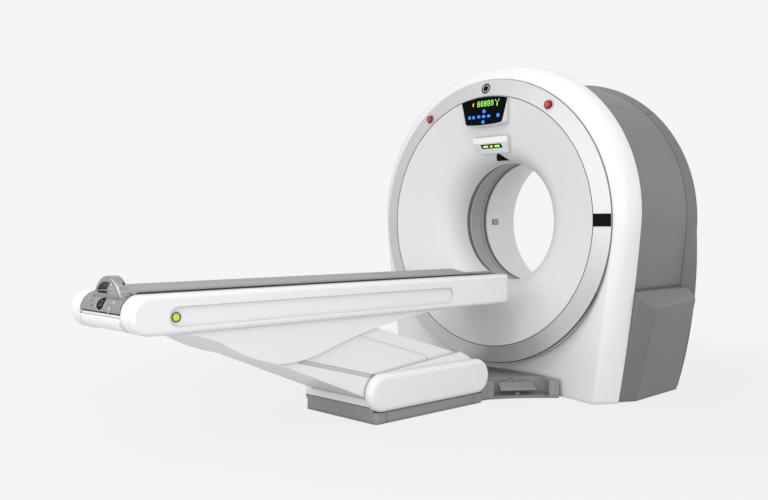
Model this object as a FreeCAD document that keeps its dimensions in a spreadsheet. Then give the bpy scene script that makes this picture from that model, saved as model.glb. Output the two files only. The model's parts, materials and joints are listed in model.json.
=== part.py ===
import FreeCAD, Part
import math
import os
import Sketcher
from types import SimpleNamespace

# CT scanner: a floor-standing gantry with a 700 mm bore, and a patient table that rises on a
# parallelogram arm and slides its cradle into the bore. Millimetres, +Z up. The origin is on the
# floor under the isocentre, in the scan plane. +Y runs along the bore, away from the table, and
# +X is to the right of someone who faces the gantry from the table.

DRIVING = {
    # gantry, over all
    "iso_height": 976, "aperture_radius": 350, "cover_base": 8, "cover_wall": 6,
    "below_floor": 20, "cutter_reach": 1400,
    # ring fascia and funnel
    "ring_radius": 825, "ring_bevel": 95, "ring_front_y": -360, "ring_edge_y": -340,
    "ring_skirt_y": -205, "ring_wall": 5, "trim_gap": 0.5,
    "funnel_knee_radius": 475, "funnel_knee_y": -283, "throat_y": -111, "funnel_wall": 5,
    # scan window and rear bore
    "window_front_radius": 355, "window_rear_radius": 372, "window_rear_y": 105, "window_wall": 3,
    "liner_front_radius": 378, "liner_rear_radius": 440, "liner_rear_y": 484, "liner_bow": 900,
    # front cover: crease where the band starts, its swell, and the edge that meets the shell
    "crease_y": -330, "crease_half_out": 5, "crease_crown_out": 5, "crease_bend_out": -10,
    "crease_foot_out": -119, "crease_bow": 9000,
    "swell_y": -298, "swell_half_out": 60, "swell_crown_out": 51, "swell_bend_out": 17,
    "swell_foot_out": -95, "swell_bow": 9500,
    "edge_y": -208, "edge_half_out": 100, "edge_crown_out": 85, "edge_bend_out": 38,
    "edge_foot_out": -35, "edge_bow": 11000, "flange_reach": 44,
    "recess_depth": 114, "recess_top_drop": 96, "recess_top_inset": 6,
    # barrel shell and rear cover
    "shell_half_out": 68, "shell_crown_out": 52, "shell_bend_out": 7, "shell_foot_out": -63,
    "shell_bow": 8000, "shell_wall": 5, "shell_end_y": 386, "shell_end_half_out": 48,
    "shell_end_crown_out": 27, "shell_end_bend_out": -13, "shell_end_foot_out": -90,
    "rim_y": 466, "rim_half_out": 72, "rim_crown_out": 53, "rim_bend_out": 33, "rim_foot_out": -47,
    "rim_bow": 2800, "back_y": 484, "back_inset": 16, "top_seam_angle": 44, "seam_gap": 2,
    "slot_count": 3, "slot_pitch": 36, "slot_width": 9, "slot_first_y": 20, "slot_sweep": 18,
    "slot_start_angle": 14, "slot_reach": 130,
    # lower side boxes
    "box_top": 602, "box_front_y": -206, "box_nose_y": -115, "box_back_y": 384,
    "box_foot_nose_out": 79, "box_foot_back_out": 60, "box_foot_front_out": 34, "box_top_nose_out": 91,
    "box_top_back_out": 58, "box_top_front_out": 19, "box_inner_in": 62, "box_round": 26,
    "box_slope_in": 13, "box_slope_drop": 1.06,
    # display, lamp box, window, badge plate, stop buttons
    "display_top_half": 173, "display_bottom_half": 138, "display_top_gap": 23,
    "display_height": 142, "display_round": 24, "display_front_y": -369, "display_tilt": 2,
    "display_crown_gap": 2.5, "display_chin_bow": 1600, "display_depth": 72, "display_lip": 7,
    "screen_thick": 4, "display_box_inset": 13, "display_box_depth": 88,
    "lamp_half_top": 132, "lamp_half_bottom": 104, "lamp_gap": 71, "lamp_strip": 34,
    "lamp_slope_drop": 58, "lamp_nose_y": -318, "lamp_chin_y": -262, "lamp_back_y": -236,
    "lens_half": 76, "lens_start": 10, "lens_length": 32, "lens_thick": 5,
    "laser_half": 48, "laser_tip_half": 3, "laser_y": -228, "laser_length": 40,
    "laser_thick": 2.5,
    "badge_height": 67, "badge_thick": 3,
    "stop_angle": 34.8, "stop_pitch_out": 44, "stop_button_radius": 21,
    "stop_button_height": 16, "stop_travel": 5, "stop_hole_gap": 0.4, "stop_stem_radius": 9,
    # gantry frame and bearing
    "frame_inset": 20, "frame_front_y": -200, "frame_back_y": 470, "frame_plate": 8,
    "sill_inset": 72, "sill_front_y": -150, "sill_back_y": 350, "sill_height": 60,
    "wall_front_y": 170, "wall_back_y": 200, "wall_inset": 72, "wall_crown_inset": 155,
    "bearing_outer_radius": 500, "bearing_flange_radius": 540, "bearing_front_y": 112,
    "bearing_flange": 15, "rib_half": 18, "rib_depth": 120, "rib_height": 420, "rib_inset": 50,
    "anchor_inset": 70, "anchor_front_y": -110, "anchor_back_y": 310, "anchor_radius": 9,
    # rotating ring
    "hub_radius": 455, "hub_wall": 25, "running_gap": 0.3, "rotor_front_y": 60,
    "rotor_back_y": 92, "rotor_radius": 745, "rotor_bore": 412, "rotor_rim": 22,
    "tube_radius": 95, "tube_centre": 575, "tube_front_y": -145, "tube_cap": 58,
    "collimator_half": 80, "collimator_low": 404, "collimator_front_y": -62,
    "detector_gap": 38, "detector_depth": 60, "detector_angle": 50,
    "detector_front_y": -66, "detector_modules": 12, "generator_inner": 480,
    "generator_outer": 690, "generator_half": 138, "generator_front_y": -120,
    "exchanger_front_y": -110, "exchanger_fins": 9, "exchanger_fin": 7,
    "weight_inner": 600, "weight_outer": 722, "weight_angle": 26, "weight_front_y": 14,
    "slip_radius": 452, "slip_back_y": 244, "slip_groove": 4,
    "brush_half": 34, "brush_height": 60, "brush_back_y": 240,
    # drive
    "pulley_x": 610, "pulley_z": 205, "pulley_radius": 60, "pulley_front_y": 64,
    "shaft_radius": 15, "motor_radius": 72, "motor_front_y": 96, "belt_thick": 3.5,
    "belt_width": 22, "fit_gap": 0.05,
    # table plinth, deck and base covers
    "plinth_half": 265, "plinth_near_y": -703, "plinth_far_y": -1482, "plinth_ledge": 57,
    "plinth_top": 77, "plinth_core_half": 241.5, "plinth_round": 16, "plinth_wall": 6,
    "deck_thick": 6, "deck_lip": 116, "deck_lip_depth": 40, "deck_well_half": 205,
    "deck_well_near_y": -730, "deck_well_far_y": -1425, "deck_slope": 7,
    "base_cover_outer": 286, "base_cover_near_y": -662, "base_cover_far_y": -1533,
    "left_cover_far_y": -1465, "lip_ear_half": 272, "lip_ear_depth": 15,
    "base_cover_top": 238, "base_cover_round": 27, "hump_thick": 14, "hump_peak_y": -879,
    "hump_peak_z": 287, "hump_near_y": -772, "hump_far_y": -1440,
    # lift arm and its pivots
    "pivot_y": -850, "pivot_z": 185, "head_y": -1950, "head_drop": 521, "pivot_radius": 25,
    "arm_boss": 44, "arm_beam_inner": 130, "arm_beam_wall": 25, "arm_beam_height": 56,
    "arm_tube_radius": 22, "bracket_inner": 170, "bracket_wall": 22, "bracket_boss": 42,
    "base_plate": 16, "link_drop": 50, "link_pin_radius": 12, "link_boss": 22,
    "link_half": 12, "link_depth": 28, "lug_wall": 12, "lug_gap": 2, "link_clearance": 0.4,
    "head_plate_inner": 96, "head_plate_wall": 20, "head_boss": 40,
    # arm cover
    "arm_cover_half": 238, "arm_cover_wall": 8, "arm_near_round": 65, "arm_shoulder_y": -784,
    "arm_shoulder_z": 236, "arm_peak_y": -879, "arm_peak_z": 281, "arm_top_y": -1610,
    "arm_top_drop": 470, "arm_end_y": -1950, "arm_end_drop": 464, "arm_tail_y": -2050,
    "arm_tail_drop": 492, "arm_head_round": 133, "arm_floor_z": 121, "arm_bend_y": -1495,
    "arm_belly_y": -2001, "arm_belly_drop": 643.7, "arm_panel_depth": 3, "arm_panel_y": -1112,
    "arm_panel_z": 292, "arm_panel_toe_run": 22, "arm_panel_toe_drop": 30,
    "arm_panel_low_run": 300, "arm_panel_low_z": 200, "arm_panel_end": 70,
    "arm_groove_depth": 6, "arm_groove_width": 20, "arm_head_open_half": 190,
    "arm_open_far_y": -1440,
    # lift actuator
    "jack_base_y": -1390, "jack_base_z": 108, "jack_arm_y": -1150, "jack_arm_z": 205,
    "jack_x": 75, "jack_eye_gap": 8, "jack_eye": 28, "jack_half": 14, "jack_body_radius": 24,
    "jack_neck": 30, "jack_body_length": 168, "jack_rod_radius": 12, "jack_rod_start": 70,
    # table top
    "panel_inner": 177, "panel_outer": 272, "panel_top_drop": 298, "panel_bottom_drop": 455,
    "panel_near_y": -484, "panel_far_y": -2732, "panel_round": 18,
    "panel_wall": 20, "track_far_y": -2576, "track_near_y": -941, "track_low_drop": 427,
    "track_high_drop": 347, "track_depth": 9, "button_y": -2548, "button_radius": 15,
    "button_travel": 3, "button_proud": 2, "frame_wall": 5, "frame_floor_drop": 436,
    "frame_floor_thick": 8, "frame_side_top_drop": 304, "frame_far_y": -2640, "frame_near_y": -500,
    "rail_x": 100, "rail_width": 24, "rail_top_drop": 378, "glide_length": 70,
    "roll_low_drop": 447, "roll_top_drop": 375, "roll_seam_drop": 388, "roll_round": 54,
    "table_shaft_half": 158,
    # belly valance
    "belly_half": 250, "belly_wall": 5, "belly_far_y": -2585, "belly_turn_y": -2330,
    "belly_turn_drop": 510, "belly_lip_y": -2040, "belly_lip_drop": 627, "belly_rise_y": -1800,
    "belly_rise_drop": 602, "belly_near_y": -950, "belly_far_bow": 640, "belly_low_bow": 900,
    "belly_low_near_bow": 700, "belly_near_bow": 3200,
    # cradle
    "cradle_radius": 338, "cradle_half": 172, "cradle_centre_top_drop": 308, "cradle_rim_top_drop": 280,
    "cradle_far_y": -2658, "cradle_near_y": -440, "cradle_tip_round": 70, "cradle_travel": 1650,
    "cradle_rim_width": 9, "carriage_half": 150, "carriage_far_y": -2636,
    "carriage_near_y": -2240, "carriage_wall": 30,
    "handle_half": 168, "handle_low_drop": 373, "handle_high_drop": 304, "handle_nose_y": -2730,
    "handle_round": 66, "loop_half": 160, "loop_low_drop": 314, "loop_waist_half": 100,
    "loop_waist_drop": 286, "loop_top_drop": 231, "loop_hole_half": 82, "loop_hole_low_drop": 302,
    "loop_hole_top_drop": 255, "loop_front_y": -2702, "loop_round": 7,
    # pedal trays
    "tray_x": 353, "tray_y": -478, "tray_angle": 53.5, "tray_far_x": 236, "tray_left_x": 242,
    "tray_left_y": -629, "tray_right_x": 465, "tray_right_y": -328, "tray_front_bow": 930,
    "tray_corner_x": 480, "tray_corner_y": -304, "tray_heel_x": 460, "tray_heel_y": -284,
    "tray_back_x": 424, "tray_back_y": -245, "tray_top": 97, "tray_fall_start": 165,
    "tray_fall": 0.09, "tray_reach": 400, "tray_ring_gap": 5, "well_left": 152,
    "well_right": 162, "well_depth": 134, "well_bend": 85,
    "well_nick": 12, "well_floor": 12, "stop_boss_radius": 14, "stop_boss_y": 56,
    "stop_boss_top": 26, "pedal_x": -5, "pedal_half": 99, "pedal_front": 38, "pedal_back": 98,
    "pedal_low_z": 50, "pedal_high_z": 76, "pedal_thick": 13, "pedal_lip": 4,
    "pedal_lug_half": 12, "pedal_barrel": 9, "pedal_axis_z": 66,
    "boss_x": -14, "boss_radius": 11, "boss_proud": 2,
}


class Size:
    """A number together with the sheet expression that gives it."""

    def __init__(self, value, text):
        self.value = float(value)
        self.text = text

    def __add__(self, other):
        other = size_of(other)
        return Size(self.value + other.value, f"({self.text} + {other.text})")

    def __sub__(self, other):
        other = size_of(other)
        return Size(self.value - other.value, f"({self.text} - {other.text})")

    def __mul__(self, other):
        other = size_of(other)
        return Size(self.value * other.value, f"({self.text} * {other.text})")

    def __truediv__(self, other):
        other = size_of(other)
        return Size(self.value / other.value, f"({self.text} / {other.text})")

    def __radd__(self, other):
        return size_of(other) + self

    def __rsub__(self, other):
        return size_of(other) - self

    def __rmul__(self, other):
        return size_of(other) * self

    def __neg__(self):
        return Size(-self.value, f"(-1 * {self.text})")


def size_of(number):
    return number if isinstance(number, Size) else Size(number, f"({float(number)})")


def root(size):
    return Size(math.sqrt(size.value), f"sqrt({size.text})")


def sine(degrees):
    degrees = size_of(degrees)
    return Size(math.sin(math.radians(degrees.value)), f"sin({degrees.text})")


def cosine(degrees):
    degrees = size_of(degrees)
    return Size(math.cos(math.radians(degrees.value)), f"cos({degrees.text})")


document = FreeCAD.newDocument("ct_scanner")
sheet = document.addObject("Spreadsheet::Sheet", "Sizes")
for row, (alias, number) in enumerate(DRIVING.items(), start=1):
    sheet.set(f"A{row}", alias)
    sheet.set(f"B{row}", str(number))
    sheet.setAlias(f"B{row}", alias)
document.recompute()
dim = SimpleNamespace(**{alias: Size(sheet.get(alias), f"Sizes.{alias}") for alias in DRIVING})

# Sizes that follow others: the gantry's outlines keep their reach beyond the ring, and the table
# and what hangs on the ring keep their height from the isocentre.
GANTRY_STATIONS = ("crease", "swell", "edge", "shell", "shell_end", "rim")
BELOW_ISOCENTRE = (
    "panel_top", "panel_bottom", "track_low", "track_high", "frame_floor", "frame_side_top",
    "rail_top", "roll_low", "roll_top", "roll_seam", "belly_turn_z", "belly_lip_z",
    "belly_rise_z", "cradle_centre_top", "cradle_rim_top", "handle_low", "handle_high",
    "loop_low", "loop_waist_z", "loop_top", "loop_hole_low", "loop_hole_top", "head_z",
    "arm_top_z", "arm_end_z", "arm_tail_z", "arm_belly_z", "recess_top")
for station in GANTRY_STATIONS:
    for part in ("half", "crown", "bend", "foot"):
        setattr(dim, f"{station}_{part}", dim.ring_radius + getattr(dim, f"{station}_{part}_out"))
for name in BELOW_ISOCENTRE:
    setattr(dim, name, dim.iso_height - getattr(dim, name.removesuffix("_z") + "_drop"))
dim.ring_rim_radius = dim.ring_radius - dim.ring_bevel
dim.stop_pitch_radius = dim.ring_rim_radius + dim.stop_pitch_out
dim.display_crown = dim.ring_rim_radius - dim.display_crown_gap
dim.display_top_z = dim.iso_height + dim.ring_rim_radius - dim.display_top_gap
dim.display_bottom_z = dim.display_top_z - dim.display_height
dim.lamp_top_z = dim.display_bottom_z - dim.lamp_gap
dim.lamp_strip_z = dim.lamp_top_z - dim.lamp_strip
dim.lamp_bottom_z = dim.lamp_strip_z - dim.lamp_slope_drop
dim.recess_top_half = dim.crease_half - dim.recess_top_inset
dim.frame_half = dim.edge_foot - dim.frame_inset
dim.sill_half = dim.shell_foot - dim.sill_inset
dim.anchor_x = dim.sill_half - dim.anchor_inset
dim.wall_half = dim.shell_foot - dim.wall_inset
dim.rib_x = dim.wall_half - dim.rib_inset
dim.wall_radius = dim.shell_crown - dim.wall_crown_inset
dim.box_inner = dim.shell_foot - dim.box_inner_in
dim.box_slope_start = dim.shell_half - dim.box_slope_in
for corner in ("nose", "back", "front"):
    for level, wall in (("foot", dim.shell_foot), ("top", dim.shell_half)):
        name = f"box_{level}_{corner}"
        setattr(dim, name, wall + getattr(dim, name + "_out"))
dim.detector_radius = dim.tube_centre + dim.window_rear_radius + dim.detector_gap

nodes = []
removals = []


# ---------------------------------------------------------------- tools of the document

def bind(thing, path, size):
    """Tie one property of an object to the sheet."""
    thing.setExpression(path, size_of(size).text)


def keep(thing, label):
    """Name a finished sub-part, and list it for the hand-in."""
    thing.Label = label
    nodes.append(thing)
    return thing


def new_body(name, x=0, y=0, z=0):
    body = document.addObject("PartDesign::Body", name)
    for axis, size in zip("xyz", (x, y, z)):
        if size_of(size).value:
            bind(body, f"Placement.Base.{axis}", size)
    return body


def origin_plane(body, role):
    return next(item for item in body.Origin.OriginFeatures if item.Role == role + "_Plane")


def new_sketch(body, plane, shift):
    sketch = body.newObject("Sketcher::SketchObject", f"{body.Name}_outline")
    sketch.AttachmentSupport = [(origin_plane(body, plane), "")]
    sketch.MapMode = "FlatFace"
    if size_of(shift).value:
        bind(sketch, "AttachmentOffset.Base.z", shift)
    return sketch


def arc_between(start, end, radius):
    """The short arc from start to end: a positive radius turns left, a negative one right."""
    chord = end - start
    reach = abs(radius)
    rise = math.sqrt(max(reach ** 2 - (chord.Length / 2) ** 2, 0))
    left = FreeCAD.Vector(-chord.y, chord.x, 0).normalize()
    centre = (start + end) * 0.5 + left * math.copysign(rise, radius)
    angles = [math.atan2(point.y - centre.y, point.x - centre.x) for point in (start, end)]
    if radius < 0:
        angles.reverse()
    circle = Part.Circle(centre, FreeCAD.Vector(0, 0, 1), reach)
    return Part.ArcOfCircle(circle, angles[0], angles[1])


def draw(body, plane, corners, shift=0):
    """A closed sketch: each corner is (across, up), or (across, up, radius) before an arc."""
    sketch = new_sketch(body, plane, shift)
    corners = [tuple(size_of(part) for part in corner) for corner in corners]
    points = [FreeCAD.Vector(corner[0].value, corner[1].value, 0) for corner in corners]
    sides = []
    for index, corner in enumerate(corners):
        start, end = points[index], points[(index + 1) % len(points)]
        if len(corner) == 3:
            sides.append(arc_between(start, end, corner[2].value))
        else:
            sides.append(Part.LineSegment(start, end))
    sketch.addGeometry(sides, False)
    turned_back = [len(corner) == 3 and corner[2].value < 0 for corner in corners]
    rules, sizes = [], []
    for index, corner in enumerate(corners):
        following = (index + 1) % len(corners)
        head = 2 if turned_back[index] else 1
        tail = 1 if turned_back[index] else 2
        next_head = 2 if turned_back[following] else 1
        rules.append(Sketcher.Constraint("Coincident", index, tail, following, next_head))
        sizes.append(None)
        rules.append(Sketcher.Constraint("DistanceX", index, head, corner[0].value))
        sizes.append(corner[0])
        rules.append(Sketcher.Constraint("DistanceY", index, head, corner[1].value))
        sizes.append(corner[1])
        if len(corner) == 3:
            rules.append(Sketcher.Constraint("Radius", index, abs(corner[2].value)))
            sizes.append(corner[2] if corner[2].value > 0 else -corner[2])
    sketch.addConstraint(rules)
    for index, size in enumerate(sizes):
        if size is not None and "Sizes." in size.text:
            bind(sketch, f"Constraints[{index}]", size)
    return sketch


def draw_disc(body, plane, across, up, radius, shift=0):
    sketch = new_sketch(body, plane, shift)
    across, up, radius = size_of(across), size_of(up), size_of(radius)
    centre = FreeCAD.Vector(across.value, up.value, 0)
    sketch.addGeometry(Part.Circle(centre, FreeCAD.Vector(0, 0, 1), radius.value), False)
    sketch.addConstraint([
        Sketcher.Constraint("DistanceX", 0, 3, across.value),
        Sketcher.Constraint("DistanceY", 0, 3, up.value),
        Sketcher.Constraint("Radius", 0, radius.value),
    ])
    for index, size in enumerate((across, up, radius)):
        if "Sizes." in size.text:
            bind(sketch, f"Constraints[{index}]", size)
    return sketch


def extrude(body, sketch, length, remove):
    """Pad or pocket a sketch along the normal of its plane."""
    kind = "Pocket" if remove else "Pad"
    feature = body.newObject(f"PartDesign::{kind}", f"{body.Name}_{kind}")
    feature.Profile = (sketch, [""])
    bind(feature, "Length", length)
    if remove:
        feature.Reversed = True
        removals.append(feature)
    return feature


def prism(body, plane, corners, low, high, remove=False):
    """Material, or a pocket, between two stations along the plane's own axis."""
    shift = -size_of(high) if plane == "XZ" else low
    return extrude(body, draw(body, plane, corners, shift), size_of(high) - low, remove)


def rod(body, plane, across, up, radius, low, high, remove=False):
    shift = -size_of(high) if plane == "XZ" else low
    sketch = draw_disc(body, plane, across, up, radius, shift)
    return extrude(body, sketch, size_of(high) - low, remove)


def turn(body, plane, corners, angle=360, remove=False, shift=0):
    """Revolve a profile about the horizontal axis of its own sketch."""
    kind = "Groove" if remove else "Revolution"
    sketch = draw(body, plane, corners, shift)
    feature = body.newObject(f"PartDesign::{kind}", f"{body.Name}_{kind}")
    feature.Profile = (sketch, [""])
    feature.ReferenceAxis = (sketch, ["H_Axis"])
    bind(feature, "Angle", angle)
    if remove:
        removals.append(feature)
    return feature


def loft(body, sketches, remove=False, ruled=False):
    kind = "SubtractiveLoft" if remove else "AdditiveLoft"
    feature = body.newObject(f"PartDesign::{kind}", f"{body.Name}_{kind}")
    feature.Profile = (sketches[0], [""])
    feature.Sections = [(sketch, [""]) for sketch in sketches[1:]]
    feature.Ruled = ruled
    if remove:
        removals.append(feature)
    return feature


def fillet(body, radius, wanted):
    """Round the edges of the body's tip whose middle point passes the test."""
    document.recompute()
    tip = body.Tip
    names = []
    for number, edge in enumerate(tip.Shape.Edges, start=1):
        middle = edge.valueAt((edge.FirstParameter + edge.LastParameter) / 2)
        if wanted(middle, edge):
            names.append(f"Edge{number}")
    feature = body.newObject("PartDesign::Fillet", f"{body.Name}_Fillet")
    feature.Base = (tip, names)
    bind(feature, "Radius", radius)
    return feature


def combine(kind, name, *pieces):
    """Join, cut or intersect finished solids."""
    if kind == "Cut":
        result = document.addObject("Part::Cut", name)
        result.Base = pieces[0]
        result.Tool = pieces[1] if len(pieces) == 2 else combine("Fuse", name + "_tools", *pieces[1:])
        return result
    result = document.addObject("Part::MultiFuse" if kind == "Fuse" else "Part::MultiCommon", name)
    result.Shapes = list(pieces)
    return result


def mirror(source, label):
    """The same piece on the other side of the machine's middle plane."""
    twin = document.addObject("Part::Mirroring", label)
    twin.Source = source
    twin.Normal = (1, 0, 0)
    return keep(twin, label)


def block(low_x, low_y, high_x, high_y):
    return [(low_x, low_y), (high_x, low_y), (high_x, high_y), (low_x, high_y)]


def rounded_block(low_x, low_y, high_x, high_y, radius):
    """A rectangle with quarter-round corners, drawn anticlockwise."""
    low_x, low_y, high_x, high_y = (size_of(item) for item in (low_x, low_y, high_x, high_y))
    return [
        (low_x + radius, low_y), (high_x - radius, low_y, radius),
        (high_x, low_y + radius), (high_x, high_y - radius, radius),
        (high_x - radius, high_y), (low_x + radius, high_y, radius),
        (low_x, high_y - radius), (low_x, low_y + radius, radius),
    ]


# ---------------------------------------------------------------- gantry covers

def gantry_outline(body, station, half, crown, bend, foot, bow, grow=0, base=None):
    """The gantry's outline at one station: squared crown, round shoulders, tapering sides."""
    lean = 5
    half, crown, bend, foot = half + grow, crown + grow, bend + grow, foot + grow
    base = dim.cover_base if base is None else base
    centre_x = half - bend
    centre_z = dim.iso_height + crown - bend
    hip_x = centre_x + bend * cosine(lean)
    hip_z = centre_z - bend * sine(lean)
    corners = [
        (-foot, base), (foot, base, bow),
        (hip_x, hip_z, bend), (centre_x, centre_z + bend),
        (-centre_x, centre_z + bend, bend), (-hip_x, hip_z, bow),
    ]
    return draw(body, "XZ", corners, -size_of(station))


def crease_outline(body, station, grow=0, base=None):
    return gantry_outline(body, station, dim.crease_half, dim.crease_crown, dim.crease_bend,
                          dim.crease_foot, dim.crease_bow, grow, base)


def swell_outline(body, station, grow=0, base=None):
    return gantry_outline(body, station, dim.swell_half, dim.swell_crown, dim.swell_bend,
                          dim.swell_foot, dim.swell_bow, grow, base)


def edge_outline(body, station, grow=0, base=None):
    return gantry_outline(body, station, dim.edge_half, dim.edge_crown, dim.edge_bend,
                          dim.edge_foot, dim.edge_bow, grow, base)


def shell_outline(body, station, grow=0, base=None):
    return gantry_outline(body, station, dim.shell_half, dim.shell_crown, dim.shell_bend,
                          dim.shell_foot, dim.shell_bow, grow, base)


def shell_end_outline(body, station, grow=0, base=None):
    return gantry_outline(body, station, dim.shell_end_half, dim.shell_end_crown,
                          dim.shell_end_bend, dim.shell_end_foot, dim.shell_bow, grow, base)


def rim_outline(body, station, grow=0, base=None):
    return gantry_outline(body, station, dim.rim_half, dim.rim_crown, dim.rim_bend,
                          dim.rim_foot, dim.rim_bow, grow, base)


BELOW_FLOOR = -dim.below_floor
BEYOND = dim.cutter_reach


def knee_recess(name, grow):
    """The hollow in the lower front, deepest under the ring and fading out at the crease."""
    body = new_body(name)
    sections = []
    for level, half in ((BELOW_FLOOR, dim.crease_foot - 3), (dim.recess_top, dim.recess_top_half)):
        depth = dim.recess_depth
        bow = (half * half + depth * depth) / (2 * depth)
        back = dim.crease_y + grow
        front = dim.crease_y - 60
        corners = [(-half, front), (half, front), (half, back, bow),
                   (0, back + depth, bow), (-half, back)]
        sections.append(draw(body, "XY", corners, level))
    loft(body, sections, ruled=True)
    return body


def front_cover():
    """Arch, swelling band and lower panel in one moulding, open behind, with a return flange."""
    wall = dim.cover_wall
    outer = new_body("front_skin")
    loft(outer, [crease_outline(outer, dim.crease_y, base=0),
                 swell_outline(outer, dim.swell_y, base=0),
                 edge_outline(outer, dim.edge_y, base=0)])
    hollow = new_body("front_hollow", y=wall / 2)
    loft(hollow, [crease_outline(hollow, dim.crease_y, -wall, -1),
                  swell_outline(hollow, dim.swell_y, -wall, -1),
                  edge_outline(hollow, dim.edge_y, -wall, -1)])
    beyond = block(-BEYOND, BELOW_FLOOR * 2, BEYOND, BEYOND * 2)
    prism(hollow, "XZ", beyond, dim.crease_y - wall, dim.crease_y + wall / 2, remove=True)
    prism(hollow, "XZ", beyond, dim.edge_y - wall * 1.5, dim.edge_y + wall, remove=True)
    mouth = new_body("front_mouth")
    extrude(mouth, shell_outline(mouth, dim.edge_y + wall, -dim.flange_reach / 4, -1), wall * 3,
            False)
    space = combine("Fuse", "front_space", hollow, mouth)
    inside = combine("Cut", "front_inside", space, knee_recess("knee_inner", wall))
    hole = new_body("front_hole", z=dim.iso_height)
    rod(hole, "XZ", 0, 0, dim.ring_radius + dim.trim_gap, dim.crease_y - 20, dim.edge_y + 20)
    keep(combine("Cut", "front_cover", outer, knee_recess("knee_outer", 0), inside, hole),
         "front_cover")


def ring_fascia():
    """Grey bevelled ring with a skirt that closes the gap behind it."""
    wall = dim.ring_wall
    body = new_body("ring_fascia_blank", z=dim.iso_height)
    turn(body, "YZ", [
        (dim.ring_front_y, dim.ring_rim_radius), (dim.ring_edge_y, dim.ring_radius),
        (dim.ring_skirt_y, dim.ring_radius), (dim.ring_skirt_y, dim.ring_radius - wall),
        (dim.ring_edge_y + wall, dim.ring_radius - wall),
        (dim.ring_front_y + wall, dim.ring_rim_radius)])
    holes = new_body("stop_holes", z=dim.iso_height)
    for side in (-1, 1):
        rod(holes, "XZ", side * dim.stop_pitch_radius * sine(dim.stop_angle),
            dim.stop_pitch_radius * cosine(dim.stop_angle),
            dim.stop_button_radius + dim.stop_hole_gap, dim.ring_front_y, dim.ring_skirt_y)
    keep(combine("Cut", "ring_fascia", body, holes), "ring_fascia")


def stop_collar_face():
    """Where the bevel of the ring lies at the pitch circle of the stop buttons."""
    share = (dim.stop_pitch_radius - dim.ring_rim_radius) / (dim.ring_radius - dim.ring_rim_radius)
    return dim.ring_front_y + share * (dim.ring_edge_y - dim.ring_front_y)


def stop_buttons():
    """Mushroom buttons in the ring; the stem runs back in the hole of the ring's own pocket."""
    face = stop_collar_face()
    body = new_body("stop_button_right", z=dim.iso_height)
    across = dim.stop_pitch_radius * sine(dim.stop_angle)
    up = dim.stop_pitch_radius * cosine(dim.stop_angle)
    rod(body, "XZ", across, up, dim.stop_button_radius, face - dim.stop_button_height,
        face + dim.ring_wall)
    fillet(body, 4, lambda middle, edge: middle.y < (face - dim.stop_button_height).value + 1)
    keep(body, "stop_button_right")
    mirror(body, "stop_button_left")


def knee_normal():
    """The unit normal of the funnel at its knee, and the radius of its throat curve."""
    rise = dim.funnel_knee_radius - dim.aperture_radius
    run = dim.throat_y - dim.funnel_knee_y
    curve = (run * run + rise * rise) / (2 * rise)
    return run / curve, (curve - rise) / curve, curve


def display_frame_place(body):
    """Stand a body in the display's plane: nearly upright, its head leaning back to the ring."""
    body.Placement.Rotation = FreeCAD.Rotation(FreeCAD.Vector(-1, 0, 0), dim.display_tilt.value)
    bind(body, "Placement.Base.y", dim.display_front_y)
    bind(body, "Placement.Base.z", (dim.display_top_z + dim.display_bottom_z) / 2)
    bind(body, "Placement.Rotation.Angle", dim.display_tilt)


def display_corners(inset):
    """The display's outline in its own plane: arched top, narrower round-cornered bottom."""
    top = (dim.display_top_z - dim.display_bottom_z) / 2 - inset
    bottom = -top
    wide = dim.display_top_half - inset
    narrow = dim.display_bottom_half - inset
    bend = dim.display_round - inset
    return [
        (-narrow + bend, bottom, dim.display_chin_bow), (narrow - bend, bottom, bend),
        (narrow + 3, bottom + bend), (wide, top, dim.display_crown - inset), (-wide, top),
        (-narrow - 3, bottom + bend, bend),
    ]


def funnel_cover():
    """White bell mouth from the ring down to the throat, with an opening for the display."""
    wall = dim.funnel_wall
    along, across, curve = knee_normal()
    body = new_body("funnel_blank", z=dim.iso_height)
    turn(body, "YZ", [
        (dim.ring_front_y, dim.ring_rim_radius - dim.trim_gap),
        (dim.funnel_knee_y, dim.funnel_knee_radius, curve),
        (dim.throat_y, dim.aperture_radius), (dim.throat_y, dim.aperture_radius + wall, wall - curve),
        (dim.funnel_knee_y + along * wall, dim.funnel_knee_radius + across * wall),
        (dim.ring_front_y + wall, dim.ring_rim_radius - dim.trim_gap)])
    opening = new_body("display_opening")
    inset = dim.display_box_inset - dim.trim_gap
    prism(opening, "XZ", display_corners(inset), -dim.display_depth, dim.display_box_depth * 2)
    display_frame_place(opening)
    lamp_hole = new_body("lamp_opening")
    prism(lamp_hole, "XZ", lamp_corners(-dim.trim_gap), dim.lamp_nose_y - 10, dim.lamp_back_y + 90)
    keep(combine("Cut", "funnel_cover", body, opening, lamp_hole), "funnel_cover")


def lamp_corners(inset):
    """The lamp box seen from the front: a wide brow over a narrower chin."""
    brow = dim.lamp_half_top - inset
    chin = dim.lamp_half_bottom - inset
    return [(-chin, dim.lamp_bottom_z + inset), (chin, dim.lamp_bottom_z + inset),
            (brow, dim.lamp_top_z - inset), (-brow, dim.lamp_top_z - inset)]


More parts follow.
